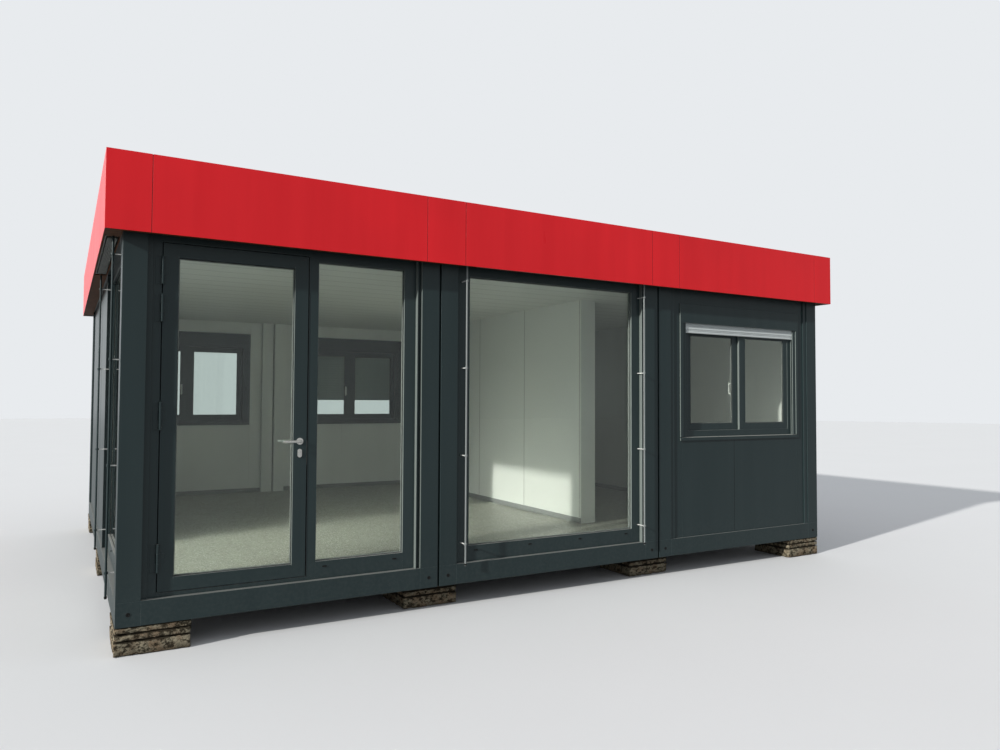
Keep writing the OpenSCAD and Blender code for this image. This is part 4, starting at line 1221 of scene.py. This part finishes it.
class CABIN_OT_door_fittings(CabinStep):
    """Add the lock's forend and strike plate, the key slots and the threshold strip to the door"""

    bl_idname = "cabin.door_fittings"
    bl_label = "Door fittings"

    def build(self, context):
        leaf_low, leaf_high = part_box("door_leaf")
        plates = solids("door_lock_plates")
        key = max(plates, key=lambda box: (box[1] - box[0]).z)
        level = (key[0].z + key[1].z) / 2
        middle_y = (leaf_low.y + leaf_high.y) / 2
        edge = leaf_high.x
        forend = block((0.0015, 0.02, 0.235), 0.0006)
        bolt = block((0.0012, 0.012, 0.03), 0.0005)
        screw = turned([(0, 0.0008), (0.0028, 0.0008), (0.0038, 0.0), (0, 0.0)], 12)
        across = Matrix.Rotation(math.pi / 2, 4, "Y")
        piece("lock_forend", "stainless_steel", [
            (forend, [at(edge + 0.0009, middle_y, level)]),
            (bolt, [at(edge + 0.0019, middle_y, level + rise) for rise in (0.06, -0.03)]),
            (screw, [at(edge + 0.0016, middle_y, level + rise) @ across for rise in (-0.105, 0.105)]),
        ], "door")
        strike = block((0.0015, 0.026, 0.19), 0.0006)
        latch_gap = 0.009
        mullion = edge + latch_gap
        piece("strike_plate", "stainless_steel", [
            (strike, [at(mullion - 0.0009, middle_y, level)]),
        ])
        centre_x = (key[0].x + key[1].x) / 2
        plate_low, plate_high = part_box("door_lock_plates")
        slots = [
            Matrix.Translation((centre_x, y, level + 0.008)) @ turn @ at(0, -0.0004, 0)
            for y, turn in ((plate_low.y, FRONT_OUT), (plate_high.y, BACK_OUT))
        ]
        slot = block((0.0014, 0.0008, 0.0085), 0.0002, 1)
        piece("key_slots", "black_rubber", [(slot, slots)], "door")
        frame_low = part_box("door_frame")[0]
        leaf_gap = 0.006
        size, place = between(
            (leaf_low.x - 0.004, frame_low.y + 0.001, leaf_low.z - leaf_gap + 0.0001),
            (leaf_high.x + 0.007, frame_low.y + 0.055, leaf_low.z - leaf_gap + 0.0011),
        )
        strip = block(size, 0.0004, 1)
        piece("threshold_strip", "spacer_metal", [(strip, [place])])


class CABIN_OT_skirting(CabinStep):
    """Run skirting boards along the inner walls"""

    bl_idname = "cabin.skirting"
    bl_label = "Skirting boards"

    def build(self, context):
        height, thick = sizes().skirting_h, sizes().skirting_t
        posts = solids("corner_posts")
        back_posts = sorted((box for box in posts if box[0].y > 0), key=lambda box: box[0].x)
        inner_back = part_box("back_wall_panels")[0].y
        inner_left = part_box("left_wall_panels")[1].x
        inner_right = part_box("right_wall_panels")[0].x
        wall_low, wall_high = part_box("partition_wall")
        glazing_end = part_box("glazing_frames")[1].y
        runs = []
        for left, right in zip(back_posts[::2], back_posts[1::2]):
            start, end = left[1].x, right[0].x
            runs.append(((start + end) / 2, inner_back, end - start, BACK_OUT))
        post_in = back_posts[0][0].y
        runs.append((inner_left, (glazing_end + post_in) / 2, post_in - glazing_end, LEFT_OUT))
        front_in = -post_in
        runs.append((inner_right, (front_in + post_in) / 2, post_in - front_in, RIGHT_OUT))
        middle = (wall_low.y + wall_high.y) / 2
        for face, turn in ((wall_low.x, RIGHT_OUT), (wall_high.x, LEFT_OUT)):
            runs.append((face, middle, wall_high.y - wall_low.y, turn))
        parts = []
        flat = [(0, 0), (thick, 0), (thick, height - 0.006), (thick - 0.004, height), (0, height)]
        outline = [(depth + 0.0003, z) for depth, z in flat]
        for x, y, run, turn in runs:
            board = drawn(outline, run - 0.002)
            parts.append((board, [Matrix.Translation((x, y, FLOOR_TOP + 0.0005)) @ turn]))
        piece("skirting_boards", "skirting_paint", parts)


class CABIN_OT_stage(CabinStep):
    """Set up the pale floor, the lights and the camera"""

    bl_idname = "cabin.stage"
    bl_label = "Stage"

    def build(self, context):
        scene = context.scene
        light = scene.cabin_lights
        scene.view_settings.view_transform = "Standard"
        self.floor(light)
        self.sky(scene, light)
        self.sun(scene, light)
        self.camera(scene, light)

    def floor(self, light):
        """Pale round floor that throws back only a share of the light."""
        bm = bmesh.new()
        bmesh.ops.create_circle(bm, cap_ends=True, segments=96, radius=light.stage_r, matrix=at(0, 0, -TINY))
        mesh = bpy.data.meshes.new("stage_floor")
        bm.to_mesh(mesh)
        bm.free()
        made = bpy.data.objects.new("stage_floor", mesh)
        bpy.context.scene.collection.objects.link(made)
        pale, tree, shader = new_material("stage_paint", Roughness=0.9)
        tone = noisy(tree, 0.6, 3)
        base = colours().stage
        pale_tone = mixed(tree, tone, (*base, 1), shade(base, 0.97))
        path = add(tree, "ShaderNodeLightPath").outputs
        seen = maths(tree, "MAXIMUM", path["Is Camera Ray"], path["Is Transmission Ray"])
        seen = maths(tree, "MAXIMUM", seen, maths(tree, "MULTIPLY", path["Is Glossy Ray"], light.gloss))
        dark_tone = shade(base, light.bounce)
        feed(tree, shader, Base_Color=mixed(tree, seen, dark_tone, pale_tone))
        mesh.materials.append(pale)

    def sky(self, scene, light):
        """Soft light all round, and the pale background for camera, gloss and glass."""
        world = bpy.data.worlds.new("sky")
        scene.world = world
        world.use_nodes = True
        tree = world.node_tree
        back = tree.nodes["Background"]
        path = add(tree, "ShaderNodeLightPath").outputs
        seen = maths(tree, "MAXIMUM", path["Is Camera Ray"], path["Is Transmission Ray"])
        tone = maths(tree, "MAXIMUM", seen, path["Is Glossy Ray"])
        tone = mixed(tree, tone, (0.93, 0.96, 1.0, 1), (*linear(232, 235, 238), 1))
        ahead = parts_of(tree, add(tree, "ShaderNodeTexCoord").outputs["Generated"])[1]
        gloss = stepped(tree, ahead, 0.1, 0.95, light.gloss, 1.0)
        dim = add(tree, "ShaderNodeMapRange", {0: path["Is Glossy Ray"], 3: light.sky, 4: gloss}).outputs[0]
        strength = add(tree, "ShaderNodeMapRange", {0: seen, 3: dim, 4: 1.0}).outputs[0]
        tree.links.new(tone, back.inputs["Color"])
        tree.links.new(strength, back.inputs["Strength"])

    def sun(self, scene, light):
        """The main lamp, low on the left."""
        lamp = bpy.data.lights.new("sun", "SUN")
        lamp.energy = light.sun
        lamp.angle = light.sun_spread
        lamp.color = (1.0, 0.97, 0.92)
        made = bpy.data.objects.new("sun", lamp)
        flat = math.cos(light.sun_height)
        travel = Vector((
            math.sin(light.sun_side) * flat, math.cos(light.sun_side) * flat, -math.sin(light.sun_height),
        ))
        made.rotation_euler = travel.to_track_quat("-Z", "Y").to_euler()
        scene.collection.objects.link(made)

    def camera(self, scene, light):
        """The camera, where the photo was taken from."""
        data = bpy.data.cameras.new("camera")
        data.lens = light.lens
        data.sensor_width = 36
        data.clip_start = 0.05
        data.clip_end = 500
        made = bpy.data.objects.new("camera", data)
        yaw = Matrix.Rotation(-light.camera_yaw, 4, "Z")
        pitch = Matrix.Rotation(math.pi / 2 + light.camera_pitch, 4, "X")
        roll = Matrix.Rotation(light.camera_roll, 4, "Z")
        made.matrix_world = Matrix.Translation(light.camera_place) @ (yaw @ pitch) @ roll
        scene.collection.objects.link(made)
        scene.camera = made


STEPS = (
    CABIN_OT_finishes, CABIN_OT_slabs, CABIN_OT_pane_seals, CABIN_OT_weep_caps, CABIN_OT_corner_plugs,
    CABIN_OT_shutters, CABIN_OT_blinds, CABIN_OT_fascia_seams, CABIN_OT_panel_seals, CABIN_OT_rod_ends,
    CABIN_OT_window_fittings, CABIN_OT_door_fittings, CABIN_OT_skirting, CABIN_OT_stage,
)


class CABIN_PT_steps(Panel):
    """Sidebar panel that lists the steps and their values"""

    bl_label = "Container cabin"
    bl_idname = "CABIN_PT_steps"
    bl_space_type = "VIEW_3D"
    bl_region_type = "UI"
    bl_category = "Cabin"

    def draw(self, context):
        column = self.layout.column()
        for step in STEPS:
            column.operator(step.bl_idname)
        for group in (context.scene.cabin_colours, context.scene.cabin_sizes, context.scene.cabin_lights):
            box = self.layout.box()
            for name in group.bl_rna.properties.keys():
                if name not in ("rna_type", "name"):
                    box.prop(group, name)


GROUPS = {"cabin_colours": CabinColours, "cabin_sizes": CabinSizes, "cabin_lights": CabinLights}


def register():
    for group in GROUPS.values():
        bpy.utils.register_class(group)
    for step in (*STEPS, CABIN_PT_steps):
        bpy.utils.register_class(step)
    for name, group in GROUPS.items():
        setattr(bpy.types.Scene, name, PointerProperty(type=group))


def unregister():
    for name in GROUPS:
        delattr(bpy.types.Scene, name)
    for step in (CABIN_PT_steps, *reversed(STEPS)):
        bpy.utils.unregister_class(step)
    for group in GROUPS.values():
        bpy.utils.unregister_class(group)


def main():
    register()
    for step in STEPS:
        group, name = step.bl_idname.split(".")
        getattr(getattr(bpy.ops, group), name)()


if __name__ == "__main__":
    main()
